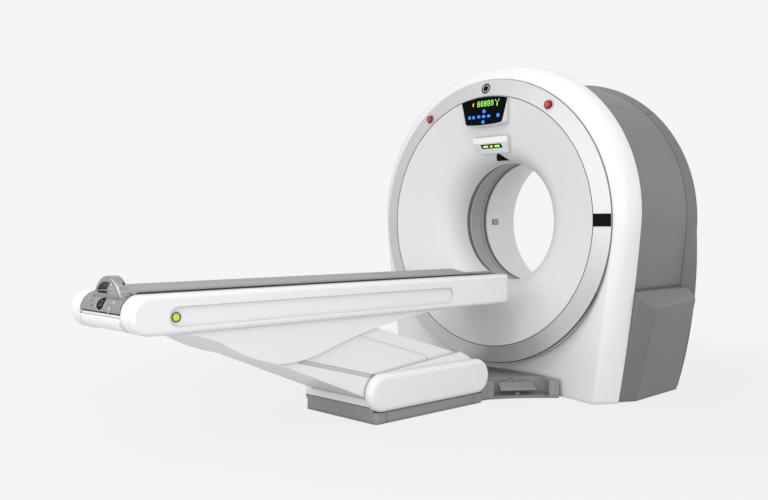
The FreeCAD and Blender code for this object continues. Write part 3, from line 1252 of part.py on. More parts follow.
def arm_cover():
    """White shell over the arm, open over the base and round the head, with a side panel."""
    half, wall = dim.arm_cover_half, dim.arm_cover_wall
    body = new_body("arm_cover")
    prism(body, "YZ", arm_cover_corners(0), -half, half)
    prism(body, "YZ", arm_cover_corners(-wall), wall - half, half - wall, remove=True)
    low_open = [(dim.arm_open_far_y, dim.arm_floor_z - 20), (dim.arm_shoulder_y + 20,
                                                            dim.arm_floor_z - 20),
                (dim.arm_shoulder_y + 20, dim.pivot_z + 5), (dim.pivot_y + 20, dim.pivot_z + 5),
                (dim.pivot_y, dim.arm_floor_z + 20), (dim.arm_open_far_y, dim.arm_floor_z + 20)]
    prism(body, "YZ", low_open, wall - half, half - wall, remove=True)
    head = block(dim.arm_tail_y + 12, dim.head_z + 20, dim.arm_end_y + 190, dim.arm_end_z + 20)
    prism(body, "YZ", head, -dim.arm_head_open_half, dim.arm_head_open_half, remove=True)
    fall = (dim.arm_top_z - dim.arm_peak_z) / (dim.arm_peak_y - dim.arm_top_y)
    toe_y, toe_z = dim.arm_panel_y, dim.arm_panel_z
    low_y, low_z = toe_y - dim.arm_panel_low_run, dim.arm_panel_low_z
    end_y, end_z = dim.arm_belly_y + dim.arm_panel_end, dim.arm_belly_z + wall
    panel = [(toe_y, toe_z), (toe_y + dim.arm_panel_toe_run, toe_z - dim.arm_panel_toe_drop),
             (low_y, low_z), (end_y, end_z), (end_y, toe_z + (toe_y - end_y) * fall)]
    groove = [(low_y, low_z), (end_y, end_z), (end_y, end_z + dim.arm_groove_width),
              (low_y, low_z + dim.arm_groove_width)]
    for corners, depth in ((panel, dim.arm_panel_depth), (groove, dim.arm_groove_depth)):
        for low, high in ((half - depth, half + 5), (-half - 5, depth - half)):
            prism(body, "YZ", corners, low, high, remove=True)
    keep(body, "arm_cover")


def levelling_link():
    """Flat bar that keeps the table level: it runs under the arm, pivot for pivot."""
    body = new_body("levelling_link")
    half = dim.link_half
    foot = (dim.pivot_y, dim.pivot_z - dim.link_drop)
    head = (dim.head_y, dim.head_z - dim.link_drop)
    beam(body, foot, head, dim.link_boss, dim.link_depth, -half, half)
    rod(body, "YZ", foot[0], foot[1], dim.link_pin_radius + dim.fit_gap, -half - 5, half + 5,
        remove=True)
    rod(body, "YZ", head[0], head[1], dim.link_pin_radius + dim.link_clearance, -half - 5, half + 5,
        remove=True)
    keep(body, "levelling_link")


def lift_actuator():
    """Electric lift actuator: a body on the base pin and a rod with an open eye at the arm."""
    run = dim.jack_arm_y - dim.jack_base_y
    rise = dim.jack_arm_z - dim.jack_base_z
    length = root(run * run + rise * rise)
    unit_y, unit_z = run / length, rise / length

    def spot(distance, aside=0):
        return (dim.jack_base_y + unit_y * distance - unit_z * aside,
                dim.jack_base_z + unit_z * distance + unit_y * aside)

    def barrel(name, radius, start, end):
        tube = new_body(name, x=dim.jack_x)
        sketch = draw_disc(tube, "XY", 0, 0, radius)
        extrude(tube, sketch, size_of(end) - start, False)
        place = spot(start)
        tube.Placement = FreeCAD.Placement(FreeCAD.Vector(), FreeCAD.Rotation(FreeCAD.Vector(1, 0, 0), 1))
        bind(tube, "Placement.Base.x", dim.jack_x)
        bind(tube, "Placement.Base.y", place[0])
        bind(tube, "Placement.Base.z", place[1])
        lean = size_of(math.degrees(math.atan2(unit_z.value, unit_y.value)))
        lean.text = f"(atan2({unit_z.text}; {unit_y.text}) / 1 deg)"
        bind(tube, "Placement.Rotation.Angle", lean - 90)
        return tube

    half = dim.jack_half
    eye = new_body("jack_body_eye")
    rod(eye, "YZ", dim.jack_base_y, dim.jack_base_z, dim.link_boss, dim.jack_x - half,
        dim.jack_x + half)
    bore = new_body("jack_body_bore")
    rod(bore, "YZ", dim.jack_base_y, dim.jack_base_z, dim.link_pin_radius + dim.fit_gap,
        dim.jack_x - half - 20, dim.jack_x + half + 20)
    neck = barrel("jack_neck", half * 0.8, half, dim.jack_neck + 4)
    case = barrel("jack_case", dim.jack_body_radius, dim.jack_neck, dim.jack_body_length)
    well = barrel("jack_well", dim.jack_rod_radius + dim.fit_gap, dim.jack_rod_start - 2,
                  dim.jack_body_length + 5)
    solid = combine("Fuse", "jack_solid", eye, neck, case)
    keep(combine("Cut", "actuator_body", solid, bore, well), "actuator_body")
    rod_eye = new_body("jack_rod_eye")
    rod(rod_eye, "YZ", dim.jack_arm_y, dim.jack_arm_z, dim.jack_eye, dim.jack_x - half,
        dim.jack_x + half)
    rod_bore = new_body("jack_rod_bore")
    rod(rod_bore, "YZ", dim.jack_arm_y, dim.jack_arm_z, dim.link_pin_radius + dim.jack_eye_gap,
        dim.jack_x - half - 5, dim.jack_x + half + 5)
    stem = barrel("jack_stem", dim.jack_rod_radius, dim.jack_rod_start, length - dim.jack_eye + 4)
    keep(combine("Cut", "actuator_rod", combine("Fuse", "jack_rod", rod_eye, stem), rod_bore),
         "actuator_rod")


# ---------------------------------------------------------------- table top

def table_frame():
    """Channel under the cradle with its two rails, and the clevis plates on the arm's head."""
    body = new_body("table_frame")
    half, wall = dim.panel_inner, dim.frame_wall
    floor, deck = dim.frame_floor, dim.frame_floor + dim.frame_floor_thick
    channel = [(-half, floor), (half, floor), (half, dim.frame_side_top),
               (half - wall, dim.frame_side_top), (half - wall, deck), (wall - half, deck),
               (wall - half, dim.frame_side_top), (-half, dim.frame_side_top)]
    prism(body, "XZ", channel, dim.frame_far_y, dim.frame_near_y)
    for low in (dim.rail_x, -dim.rail_x - dim.rail_width):
        prism(body, "XZ", block(low, deck, low + dim.rail_width, dim.rail_top), dim.frame_far_y,
              dim.frame_near_y)
    boss = dim.head_boss
    for low in (dim.head_plate_inner, -dim.head_plate_inner - dim.head_plate_wall):
        plate = [(dim.head_y - boss * 1.6, floor), (dim.head_y - boss, dim.head_z, boss),
                 (dim.head_y, dim.head_z - boss, boss), (dim.head_y + boss, dim.head_z),
                 (dim.head_y + boss * 1.6, floor)]
        prism(body, "YZ", plate, low, low + dim.head_plate_wall)
    outer = dim.link_half + dim.lug_gap
    low_z = dim.head_z - dim.link_drop
    for low in (outer, -outer - dim.lug_wall):
        lug = [(dim.head_y - boss, floor), (dim.head_y - dim.link_boss, low_z, dim.link_boss),
               (dim.head_y, low_z - dim.link_boss, dim.link_boss),
               (dim.head_y + dim.link_boss, low_z), (dim.head_y + boss, floor)]
        prism(body, "YZ", lug, low, low + dim.lug_wall)
    rod(body, "YZ", dim.head_y, low_z, dim.link_pin_radius, -outer, outer)
    reach = dim.head_plate_inner + dim.head_plate_wall + 5
    rod(body, "YZ", dim.head_y, dim.head_z, dim.pivot_radius, -reach, reach, remove=True)
    keep(body, "table_frame")


def table_shaft():
    body = new_body("table_shaft", y=dim.head_y, z=dim.head_z)
    rod(body, "YZ", 0, 0, dim.pivot_radius, -dim.table_shaft_half, dim.table_shaft_half)
    keep(body, "table_shaft")


def side_panels():
    """Long side panel with a round nose, a stadium-shaped track and a push button in it."""
    inner, outer = dim.panel_inner, dim.panel_outer
    low, high, far, near = dim.panel_bottom, dim.panel_top, dim.panel_far_y, dim.panel_near_y
    nose = (high - low) / 2
    body = new_body("side_panel_right")
    outline = [(far + nose, low), (near, low), (near, high), (far + nose, high, nose),
               (far, high - nose, nose)]
    prism(body, "YZ", outline, inner, outer)
    fillet(body, dim.panel_round, lambda spot, edge: spot.x > outer.value - 1)
    wall = dim.panel_wall
    prism(body, "YZ", block(far + nose, low + wall / 2, near - wall, high - wall / 2), inner - 1,
          outer - wall, remove=True)
    end = (dim.track_high - dim.track_low) / 2
    middle = (dim.track_high + dim.track_low) / 2
    track = [(dim.track_far_y + end, dim.track_low), (dim.track_near_y - end, dim.track_low, end),
             (dim.track_near_y, middle, end), (dim.track_near_y - end, dim.track_high),
             (dim.track_far_y + end, dim.track_high, end), (dim.track_far_y, middle, end)]
    prism(body, "YZ", track, outer - dim.track_depth, outer + 5, remove=True)
    floor = outer - dim.track_depth
    hole = dim.button_radius + dim.stop_hole_gap
    rod(body, "YZ", dim.button_y, middle, hole, floor - dim.button_travel - 3, floor + 1, remove=True)
    keep(body, "side_panel_right")
    mirror(body, "side_panel_left")
    button = new_body("table_button_right")
    rod(button, "YZ", dim.button_y, middle, dim.button_radius, floor - dim.button_proud,
        floor + dim.button_proud)
    keep(button, "table_button_right")
    mirror(button, "table_button_left")


def belly_valance():
    """Sheet valance under the table: closed at its far end, open where the arm comes in."""
    half, wall = dim.belly_half, dim.belly_wall
    top = dim.panel_bottom

    body = new_body("belly_valance")
    outer = [
        (dim.belly_far_y, top, -dim.belly_far_bow),
        (dim.belly_turn_y, dim.belly_turn_z, dim.belly_low_bow),
        (dim.belly_lip_y, dim.belly_lip_z, dim.belly_low_near_bow),
        (dim.belly_rise_y, dim.belly_rise_z, -dim.belly_near_bow), (dim.belly_near_y, top)]
    prism(body, "YZ", outer, -half, half)
    inner = [
        (dim.belly_far_y + wall * 4, top + wall, -dim.belly_far_bow),
        (dim.belly_turn_y + wall / 2, dim.belly_turn_z + wall, dim.belly_low_bow - wall),
        (dim.belly_lip_y, dim.belly_lip_z + wall), (dim.belly_lip_y, dim.belly_lip_z - wall * 8),
        (dim.belly_near_y + wall, dim.belly_lip_z - wall * 8), (dim.belly_near_y + wall, top + wall)]
    prism(body, "YZ", inner, wall - half, half - wall, remove=True)
    keep(body, "belly_valance")


def end_roll():
    """White roll under the handle, between the noses of the side panels."""
    body = new_body("end_roll")
    half = dim.panel_inner
    far, near = dim.panel_far_y, dim.frame_far_y
    bend = dim.roll_round
    top = dim.roll_top
    corners = [(far + bend, dim.roll_low), (near, dim.roll_low), (near, top), (far + 6, top),
               (far + 6, dim.roll_seam + 3), (far + 3, dim.roll_seam), (far, dim.roll_seam - 3),
               (far, dim.roll_low + bend, bend)]
    prism(body, "YZ", corners, -half, half)
    keep(body, "end_roll")


def glide_pads():
    """Low-friction pads on the rails at the gantry end, shaped to the cradle's underside."""
    blank = new_body("glide_blank")
    reach = dim.rail_x + dim.rail_width
    prism(blank, "XZ", block(-reach, dim.rail_top, reach, dim.frame_side_top),
          dim.frame_near_y - dim.glide_length, dim.frame_near_y)
    prism(blank, "XZ", block(-dim.rail_x, dim.rail_top + 12, dim.rail_x, dim.frame_side_top + 5),
          dim.frame_near_y - dim.glide_length - 5, dim.frame_near_y + 5, remove=True)
    clear = new_body("glide_clearance", z=dim.iso_height)
    rod(clear, "XZ", 0, 0, dim.cradle_radius + dim.running_gap,
        dim.frame_near_y - dim.glide_length - 10, dim.frame_near_y + 10)
    keep(combine("Cut", "glide_pads", blank, clear), "glide_pads")


# ---------------------------------------------------------------- cradle

def cradle():
    """Curved carbon cradle: its underside is concentric with the bore, its top is a shallow dish."""
    half, reach = dim.cradle_half, dim.cradle_radius
    under = dim.iso_height - root(reach * reach - half * half)
    rim = dim.cradle_rim_top
    lip = half - dim.cradle_rim_width
    drop = rim - dim.cradle_centre_top
    dish = (lip * lip + drop * drop) / (2 * drop)
    bottom = dim.iso_height - reach
    blank = new_body("cradle_blank")
    corners = [(-half, under, reach), (0, bottom, reach), (half, under), (half, rim - 3),
               (half - 3, rim), (lip, rim, -dish), (0, dim.cradle_centre_top, -dish), (-lip, rim),
               (3 - half, rim), (-half, rim - 3)]
    prism(blank, "XZ", corners, dim.cradle_far_y, dim.cradle_near_y)
    plan = new_body("cradle_plan")
    bend = dim.cradle_tip_round
    far, near = dim.cradle_far_y - 1, dim.cradle_near_y
    outline = [(-half, far), (half, far), (half, near - bend, bend), (half - bend, near),
               (bend - half, near, bend), (-half, near - bend)]
    prism(plan, "XY", outline, bottom - 5, rim + 5)
    keep(combine("Common", "cradle", blank, plan), "cradle")


def cradle_carriage():
    """Carriage under the cradle's foot end: two runners on the rails and two cross plates."""
    half, low, gap = dim.carriage_half, dim.rail_top + dim.running_gap, dim.trim_gap
    far, near, wall = dim.carriage_far_y, dim.carriage_near_y, dim.carriage_wall
    blank = new_body("carriage_blank")
    prism(blank, "XY", block(-half, far, half, near), low, dim.panel_top)
    prism(blank, "XY", block(wall * 2.7 - half, far + wall, half - wall * 2.7, near - wall), low - 1,
          dim.panel_top + 1, remove=True)
    clear = new_body("carriage_clearance", z=dim.iso_height)
    rod(clear, "XZ", 0, 0, dim.cradle_radius + gap / 5, far - 10, near + 10)
    keep(combine("Cut", "cradle_carriage", blank, clear), "cradle_carriage")


def cradle_handle():
    """Cast end block with its D-shaped pulling loop, in one piece."""
    back = dim.cradle_far_y - dim.trim_gap / 5
    half = dim.handle_half
    low, high = dim.handle_low, dim.handle_high
    nose, bend = dim.handle_nose_y, dim.handle_round
    block_body = new_body("handle_block")
    face = [(nose + 4, low), (back, low), (back, high), (nose + bend, high, bend),
            (nose, high - bend)]
    prism(block_body, "YZ", face, -half, half)
    loop = new_body("handle_loop")
    wide, waist, top = dim.loop_half, dim.loop_waist_half, dim.loop_top
    outline = [
        (-wide, dim.loop_low - 20), (wide, dim.loop_low - 20), (wide, dim.loop_low),
        (wide - 8, dim.loop_low + 4, -70), (waist, dim.loop_waist_z, 125), (0, top, 125),
        (-waist, dim.loop_waist_z, -70), (8 - wide, dim.loop_low + 4), (-wide, dim.loop_low)]
    prism(loop, "XZ", outline, dim.loop_front_y, back)
    fillet(loop, dim.loop_round, lambda spot, edge: spot.z > dim.loop_low.value + 5
           and spot.y < dim.loop_front_y.value + 1)
    eye = new_body("handle_eye")
    hole, sill, arch = dim.loop_hole_half, dim.loop_hole_low, dim.loop_hole_top
    prism(eye, "XZ", [(12 - hole, sill), (hole - 12, sill, 12), (hole, sill + 12, 100),
                      (0, arch, 100), (-hole, sill + 12, 12)],
          dim.loop_front_y - 30, back + 5)
    keep(combine("Cut", "cradle_handle", combine("Fuse", "handle_solid", block_body, loop), eye),
         "cradle_handle")


# ---------------------------------------------------------------- pedal trays

def tray_place(body):
    """Turn a body so that its +X runs along the tray's front and its +Y points inward."""
    body.Placement = FreeCAD.Placement(FreeCAD.Vector(), FreeCAD.Rotation(FreeCAD.Vector(0, 0, 1), 1))
    bind(body, "Placement.Base.x", dim.tray_x)
    bind(body, "Placement.Base.y", dim.tray_y)
    bind(body, "Placement.Rotation.Angle", dim.tray_angle)


def pedal_trays():
    """Floor tray that fills the space between plinth and gantry, with an open well for the pedal."""
    gap = dim.trim_gap
    deep_y = dim.crease_y + dim.recess_depth + 5
    plan = [
        (dim.tray_far_x, dim.plinth_near_y + gap),
        (dim.tray_left_x, dim.tray_left_y, -dim.tray_front_bow),
        (dim.tray_right_x, dim.tray_right_y), (dim.tray_corner_x, dim.tray_corner_y),
        (dim.tray_heel_x, dim.tray_heel_y), (dim.tray_back_x, dim.tray_back_y),
        (dim.tray_back_x, deep_y), (gap, deep_y), (gap, dim.plinth_near_y + gap)]
    blank = new_body("tray_blank")
    prism(blank, "XY", plan, 0, dim.tray_top)
    fall = new_body("tray_fall")
    reach = dim.tray_fall_start + 200
    corners = [(dim.tray_fall_start, dim.tray_top), (reach, dim.tray_top - dim.tray_fall * 200),
               (reach, dim.tray_top + 20), (dim.tray_fall_start, dim.tray_top + 20)]
    prism(fall, "XZ", corners, -dim.tray_reach, dim.tray_reach)
    tray_place(fall)
    well = new_body("tray_well")
    left, right, depth, bend = dim.well_left, dim.well_right, dim.well_depth, dim.well_bend
    outline = [(-left, -60), (right, -60), (right, depth - bend, bend), (right - bend, depth),
               (dim.well_nick - left, depth), (-left, depth - dim.well_nick)]
    prism(well, "XY", outline, dim.well_floor, dim.tray_top + 20)
    tray_place(well)
    behind = new_body("tray_behind")
    prism(behind, "XY", block(-20, dim.crease_y - 50, dim.crease_foot * 0.9, dim.edge_y),
          BELOW_FLOOR / 2, dim.tray_top + 20)
    beyond_panel = combine("Cut", "tray_stop", behind, knee_recess("knee_seat", -dim.running_gap))
    gap = dim.tray_ring_gap
    under_ring = new_body("tray_ring_clearance", z=dim.iso_height)
    rod(under_ring, "XZ", 0, 0, dim.ring_radius + gap, dim.ring_front_y - gap, dim.edge_y + gap)
    cut = combine("Cut", "tray_cut", blank, fall, well, beyond_panel, under_ring)
    boss = new_body("tray_boss")
    rod(boss, "XZ", dim.boss_x, dim.tray_top - dim.boss_radius, dim.boss_radius,
        depth - dim.boss_proud, depth + 4)
    tray_place(boss)
    stop = new_body("tray_stop_boss")
    rod(stop, "XY", dim.pedal_x, dim.stop_boss_y, dim.stop_boss_radius, dim.well_floor - 1,
        dim.stop_boss_top)
    tray_place(stop)
    right = keep(combine("Fuse", "pedal_tray_right", cut, boss, stop), "pedal_tray_right")
    mirror(right, "pedal_tray_left")


def pedals():
    """Sloping pedal plate, with two lugs that end in its hinge barrel at the well's back wall."""
    body = new_body("pedal_right")
    front, back, lip = dim.pedal_front, dim.pedal_back, dim.pedal_lip
    low, high, thick = dim.pedal_low_z, dim.pedal_high_z, dim.pedal_thick
    side = [(front, low - thick + lip), (front + lip, low - thick), (back, high - thick),
            (back, high), (front + lip, low), (front, low - lip)]
    prism(body, "YZ", side, dim.pedal_x - dim.pedal_half, dim.pedal_x + dim.pedal_half)
    barrel, axis_z = dim.pedal_barrel, dim.pedal_axis_z
    axis_y = dim.well_depth - barrel - dim.running_gap
    reach = dim.pedal_half * 0.6
    for middle in (dim.pedal_x - reach, dim.pedal_x + reach):
        low_x, high_x = middle - dim.pedal_lug_half, middle + dim.pedal_lug_half
        prism(body, "YZ", block(back - 2, axis_z - barrel / 2, axis_y, axis_z + barrel / 2), low_x,
              high_x)
        rod(body, "YZ", axis_y, axis_z, barrel, low_x, high_x)
    tray_place(body)
    keep(body, "pedal_right")
    mirror(body, "pedal_left")


# ---------------------------------------------------------------- build, test and write

def build():
    front_cover()
    ring_fascia()
    funnel_cover()
    scan_window()
    bore_liner()
    shell_outer, skin = shell_skin()
    shell_covers(skin)
    rear_cover()
    side_boxes(shell_outer)
    display()
    lamp_box()
    laser_window()
    badge_plate()
    stop_buttons()
    gantry_frame()
    bearing_outer()
    rotor_ring()
    xray_tube()
    collimator()
    detector_arc()
    hv_generator()
    heat_exchanger()
    counterweight()
    slip_ring()
    brush_block()
    drive_motor()
    drive_pulley()
    drive_belt()
    table_plinth()
    base_frame()
    pivot_shaft()
    base_deck()
    base_covers()
    lift_arm()
    arm_cover()
    levelling_link()
    lift_actuator()
    table_frame()
    table_shaft()
    side_panels()
    belly_valance()
    end_roll()
    glide_pads()
    cradle()
    cradle_carriage()
    cradle_handle()
    pedal_trays()
    pedals()


def check_and_write():
    document.recompute()
    for thing in document.Objects:
        if "Invalid" in thing.State or "Error" in thing.State:
            raise RuntimeError(f"{thing.Label} failed: {thing.State}")
    for feature in removals:
        if feature.BaseFeature is None or feature.Shape.Volume > feature.BaseFeature.Shape.Volume - 0.01:
            raise RuntimeError(f"{feature.Label} removes nothing")
    os.makedirs("parts", exist_ok=True)
    for thing in nodes:
        shape = thing.Shape
        if shape.isNull() or not shape.isValid() or not shape.Solids:
            raise RuntimeError(f"{thing.Label} has no valid solid")
    for thing in nodes:
        thing.Shape.exportStep(f"parts/{thing.Label}.step")


build()
check_and_write()
print(len(nodes), "sub-parts")
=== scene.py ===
import json
import math

import bmesh
import bpy
from mathutils import Matrix, Vector
from mathutils.bvhtree import BVHTree

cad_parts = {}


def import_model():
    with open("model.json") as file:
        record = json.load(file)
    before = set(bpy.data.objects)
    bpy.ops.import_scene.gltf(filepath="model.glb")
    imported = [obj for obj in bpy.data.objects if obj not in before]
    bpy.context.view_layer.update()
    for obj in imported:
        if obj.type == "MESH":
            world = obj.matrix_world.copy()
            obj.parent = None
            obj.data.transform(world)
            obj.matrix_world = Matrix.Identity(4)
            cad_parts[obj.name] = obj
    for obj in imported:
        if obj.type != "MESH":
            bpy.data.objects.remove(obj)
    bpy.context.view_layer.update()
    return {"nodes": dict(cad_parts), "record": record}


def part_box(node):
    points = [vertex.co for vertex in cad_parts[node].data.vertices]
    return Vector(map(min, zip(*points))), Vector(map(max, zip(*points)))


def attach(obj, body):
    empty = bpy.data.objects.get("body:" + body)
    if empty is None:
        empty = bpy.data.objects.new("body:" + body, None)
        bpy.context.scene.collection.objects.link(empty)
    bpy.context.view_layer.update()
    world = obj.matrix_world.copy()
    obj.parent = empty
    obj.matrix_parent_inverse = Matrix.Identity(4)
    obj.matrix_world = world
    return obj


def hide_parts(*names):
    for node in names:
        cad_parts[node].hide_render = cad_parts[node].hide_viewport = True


# The looks of a CT scanner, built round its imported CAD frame. Metres, +Z up; the bore runs along Y,
# the table lies towards -Y, and the origin is on the floor under the isocentre.

MM = 0.001

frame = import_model()
nodes = frame["nodes"]

# ---------------------------------------------------------------- driving dimensions

ring_low, ring_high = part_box("ring_fascia")
ISO = (ring_low.z + ring_high.z) / 2            # height of the bore's axis
RING_RADIUS = (ring_high.z - ring_low.z) / 2
RING_FRONT = ring_low.y
RING_RIM_RADIUS = RING_RADIUS - 95 * MM
RING_EDGE_Y = RING_FRONT + 20 * MM
plinth_low, plinth_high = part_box("table_plinth")
PLINTH_SIDE = plinth_high.x
PLINTH_FRONT = plinth_low.y

# ---------------------------------------------------------------- node groups and materials

CREASE_SHADE_REACH = 22 * MM          # how far from a corner its painted shade reaches
EDGE_HIGHLIGHT_REACH = 6 * MM             # how far over an edge its painted highlight reaches


def new_group(name, inputs, outputs):
    group = bpy.data.node_groups.new(name, "ShaderNodeTree")
    for label, kind, value in inputs:
        socket = group.interface.new_socket(name=label, in_out="INPUT", socket_type=kind)
        socket.default_value = value
    for label, kind in outputs:
        group.interface.new_socket(name=label, in_out="OUTPUT", socket_type=kind)
    return group, group.nodes.new("NodeGroupInput"), group.nodes.new("NodeGroupOutput")


def noise(tree, vector, scale, detail=2.0, roughness=0.5):
    node = tree.nodes.new("ShaderNodeTexNoise")
    node.inputs["Detail"].default_value = detail
    node.inputs["Roughness"].default_value = roughness
    tree.links.new(vector, node.inputs["Vector"])
    if isinstance(scale, float):
        node.inputs["Scale"].default_value = scale
    else:
        tree.links.new(scale, node.inputs["Scale"])
    return node.outputs["Fac"]


def math_node(tree, operation, first, second):
    node = tree.nodes.new("ShaderNodeMath")
    node.operation = operation
    for socket, value in zip(node.inputs, (first, second)):
        if isinstance(value, (int, float)):
            socket.default_value = value
        else:
            tree.links.new(value, socket)
    return node.outputs[0]


def around(tree, value, centre, spread):
    """A noise value turned into centre, plus or minus spread."""
    swing = math_node(tree, "MULTIPLY", math_node(tree, "SUBTRACT", value, 0.5), spread)
    return math_node(tree, "ADD", swing, centre)


def finish_group():
    """Moulded or painted skin: slow drift of tone, patchy sheen, fine grain, softened edges, painted
    crease shade and painted edge highlights.
    """
    tree, given, result = new_group("moulded_finish", [
        ("Colour", "NodeSocketColor", (0.8, 0.8, 0.8, 1)),
        ("Tone", "NodeSocketFloat", 0.04),
        ("Roughness", "NodeSocketFloat", 0.4),
        ("Patch", "NodeSocketFloat", 0.08),
        ("Grain Scale", "NodeSocketFloat", 900.0),
        ("Grain Depth", "NodeSocketFloat", 0.05),
        ("Crease Shade", "NodeSocketFloat", 0.5),
        ("Edge", "NodeSocketFloat", 0.0),
    ], [("Colour", "NodeSocketColor"), ("Roughness", "NodeSocketFloat"),
        ("Normal", "NodeSocketVector")])
    place = tree.nodes.new("ShaderNodeTexCoord").outputs["Object"]
    drift = noise(tree, place, 1.7, 3.0)
    tint = around(tree, drift, 1.0, given.outputs["Tone"])
    # Painted shade: the colour darkens where the AO finds other surfaces close by, in corners,
    # creases and gaps.
    painted_shade_ao = tree.nodes.new("ShaderNodeAmbientOcclusion")
    painted_shade_ao.samples = 6
    painted_shade_ao.inputs["Distance"].default_value = CREASE_SHADE_REACH
    shade = math_node(tree, "MULTIPLY", math_node(tree, "SUBTRACT", painted_shade_ao.outputs["AO"], 1.0),
                      given.outputs["Crease Shade"])
    tint = math_node(tree, "MULTIPLY", tint, math_node(tree, "ADD", shade, 1.0))
    # Painted highlight: the colour lightens over edges, where the bevelled normal turns from the true
    # one.
    round_off = tree.nodes.new("ShaderNodeBevel")
    round_off.samples = 4
    round_off.inputs["Radius"].default_value = EDGE_HIGHLIGHT_REACH
    turn = tree.nodes.new("ShaderNodeVectorMath")
    turn.operation = "DOT_PRODUCT"
    tree.links.new(round_off.outputs["Normal"], turn.inputs[0])
    tree.links.new(tree.nodes.new("ShaderNodeNewGeometry").outputs["Normal"], turn.inputs[1])
    edge_highlight = math_node(tree, "MULTIPLY", math_node(tree, "SUBTRACT", 1.0, turn.outputs["Value"]),
                     given.outputs["Edge"])
    tint = math_node(tree, "MULTIPLY", tint, math_node(tree, "ADD", edge_highlight, 1.0))
    mix = tree.nodes.new("ShaderNodeVectorMath")
    mix.operation = "SCALE"
    tree.links.new(given.outputs["Colour"], mix.inputs[0])
    tree.links.new(tint, mix.inputs["Scale"])
    tree.links.new(mix.outputs[0], result.inputs["Colour"])
    patch = noise(tree, place, 14.0, 4.0, 0.6)
    tree.links.new(around(tree, patch, given.outputs["Roughness"], given.outputs["Patch"]),
                   result.inputs["Roughness"])
    edge = tree.nodes.new("ShaderNodeBevel")
    edge.samples = 4
    edge.inputs["Radius"].default_value = 2.2 * MM
    grain = noise(tree, place, given.outputs["Grain Scale"], 3.0, 0.6)
    bump = tree.nodes.new("ShaderNodeBump")
    bump.inputs["Distance"].default_value = 0.4 * MM
    tree.links.new(given.outputs["Grain Depth"], bump.inputs["Strength"])
    tree.links.new(grain, bump.inputs["Height"])
    tree.links.new(edge.outputs["Normal"], bump.inputs["Normal"])
    tree.links.new(bump.outputs["Normal"], result.inputs["Normal"])
    return tree


def brushed_group():
    """Ground or brushed metal: fine scratches along one axis, over a slow drift of tone, with painted
    shade in its creases.
    """
    tree, given, result = new_group("brushed_finish", [
        ("Colour", "NodeSocketColor", (0.6, 0.6, 0.6, 1)),
        ("Stretch", "NodeSocketVector", (40.0, 900.0, 900.0)),
        ("Roughness", "NodeSocketFloat", 0.3),
        ("Depth", "NodeSocketFloat", 0.1),
    ], [("Colour", "NodeSocketColor"), ("Roughness", "NodeSocketFloat"),
        ("Normal", "NodeSocketVector")])
    place = tree.nodes.new("ShaderNodeTexCoord").outputs["Object"]
    pull = tree.nodes.new("ShaderNodeVectorMath")
    pull.operation = "MULTIPLY"
    tree.links.new(place, pull.inputs[0])
    tree.links.new(given.outputs["Stretch"], pull.inputs[1])
    scratch = noise(tree, pull.outputs[0], 1.0, 5.0, 0.7)
    tint = around(tree, noise(tree, place, 22.0, 3.0), 1.0, 0.10)
    # Painted shade: the colour darkens where the AO finds other surfaces close by.
    painted_shade_ao = tree.nodes.new("ShaderNodeAmbientOcclusion")
    painted_shade_ao.samples = 6
    painted_shade_ao.inputs["Distance"].default_value = CREASE_SHADE_REACH
    fine = math_node(tree, "MULTIPLY", around(tree, scratch, tint, 0.14), painted_shade_ao.outputs["AO"])
    mix = tree.nodes.new("ShaderNodeVectorMath")
    mix.operation = "SCALE"
    tree.links.new(given.outputs["Colour"], mix.inputs[0])
    tree.links.new(fine, mix.inputs["Scale"])
    tree.links.new(mix.outputs[0], result.inputs["Colour"])
    tree.links.new(around(tree, scratch, given.outputs["Roughness"], 0.16),
                   result.inputs["Roughness"])
    edge = tree.nodes.new("ShaderNodeBevel")
    edge.samples = 4
    edge.inputs["Radius"].default_value = 1.2 * MM
    bump = tree.nodes.new("ShaderNodeBump")
    bump.inputs["Distance"].default_value = 0.15 * MM
    tree.links.new(given.outputs["Depth"], bump.inputs["Strength"])
    tree.links.new(scratch, bump.inputs["Height"])
    tree.links.new(edge.outputs["Normal"], bump.inputs["Normal"])
    tree.links.new(bump.outputs["Normal"], result.inputs["Normal"])
    return tree


MOULDED = finish_group()
BRUSHED = brushed_group()


def new_material(name, group, settings, metallic=0.0, coat=0.0, coat_rough=0.1, specular=0.5):
    made = bpy.data.materials.new(name)
    made.use_nodes = True
    tree = made.node_tree
    shader = tree.nodes["Principled BSDF"]
    finish = tree.nodes.new("ShaderNodeGroup")
    finish.node_tree = group
    for label, value in settings.items():
        finish.inputs[label].default_value = value
    tree.links.new(finish.outputs["Colour"], shader.inputs["Base Color"])
    tree.links.new(finish.outputs["Roughness"], shader.inputs["Roughness"])
    tree.links.new(finish.outputs["Normal"], shader.inputs["Normal"])
    shader.inputs["Metallic"].default_value = metallic
    shader.inputs["Coat Weight"].default_value = coat
    shader.inputs["Coat Roughness"].default_value = coat_rough
    shader.inputs["Specular IOR Level"].default_value = specular
    return made


def grey(level):
    return (level, level, level * 1.01, 1)


# Its crease setting paints shade into corners and gaps; its edge setting paints a highlight along
# edges.
def moulded(name, colour, rough, tone=0.04, patch=0.08, scale=900.0, depth=0.05, crease_shade=0.5,
            edge=0.0, **more):
    return new_material(name, MOULDED, {
        "Colour": colour, "Tone": tone, "Roughness": rough, "Patch": patch,
        "Grain Scale": scale, "Grain Depth": depth, "Crease Shade": crease_shade, "Edge": edge}, **more)


def brushed(name, colour, rough, stretch=(900.0, 40.0, 900.0), depth=0.1, **more):
    return new_material(name, BRUSHED, {
        "Colour": colour, "Stretch": stretch, "Roughness": rough, "Depth": depth},
        metallic=1.0, **more)


def glowing(name, colour, strength):
    """A lit sign or lamp face, which gives off its own colour."""
    made = moulded(name, colour, 0.35, tone=0.1, depth=0.02)
    tree = made.node_tree
    shader = tree.nodes["Principled BSDF"]
    shader.inputs["Emission Color"].default_value = colour
    shader.inputs["Emission Strength"].default_value = strength
    return made


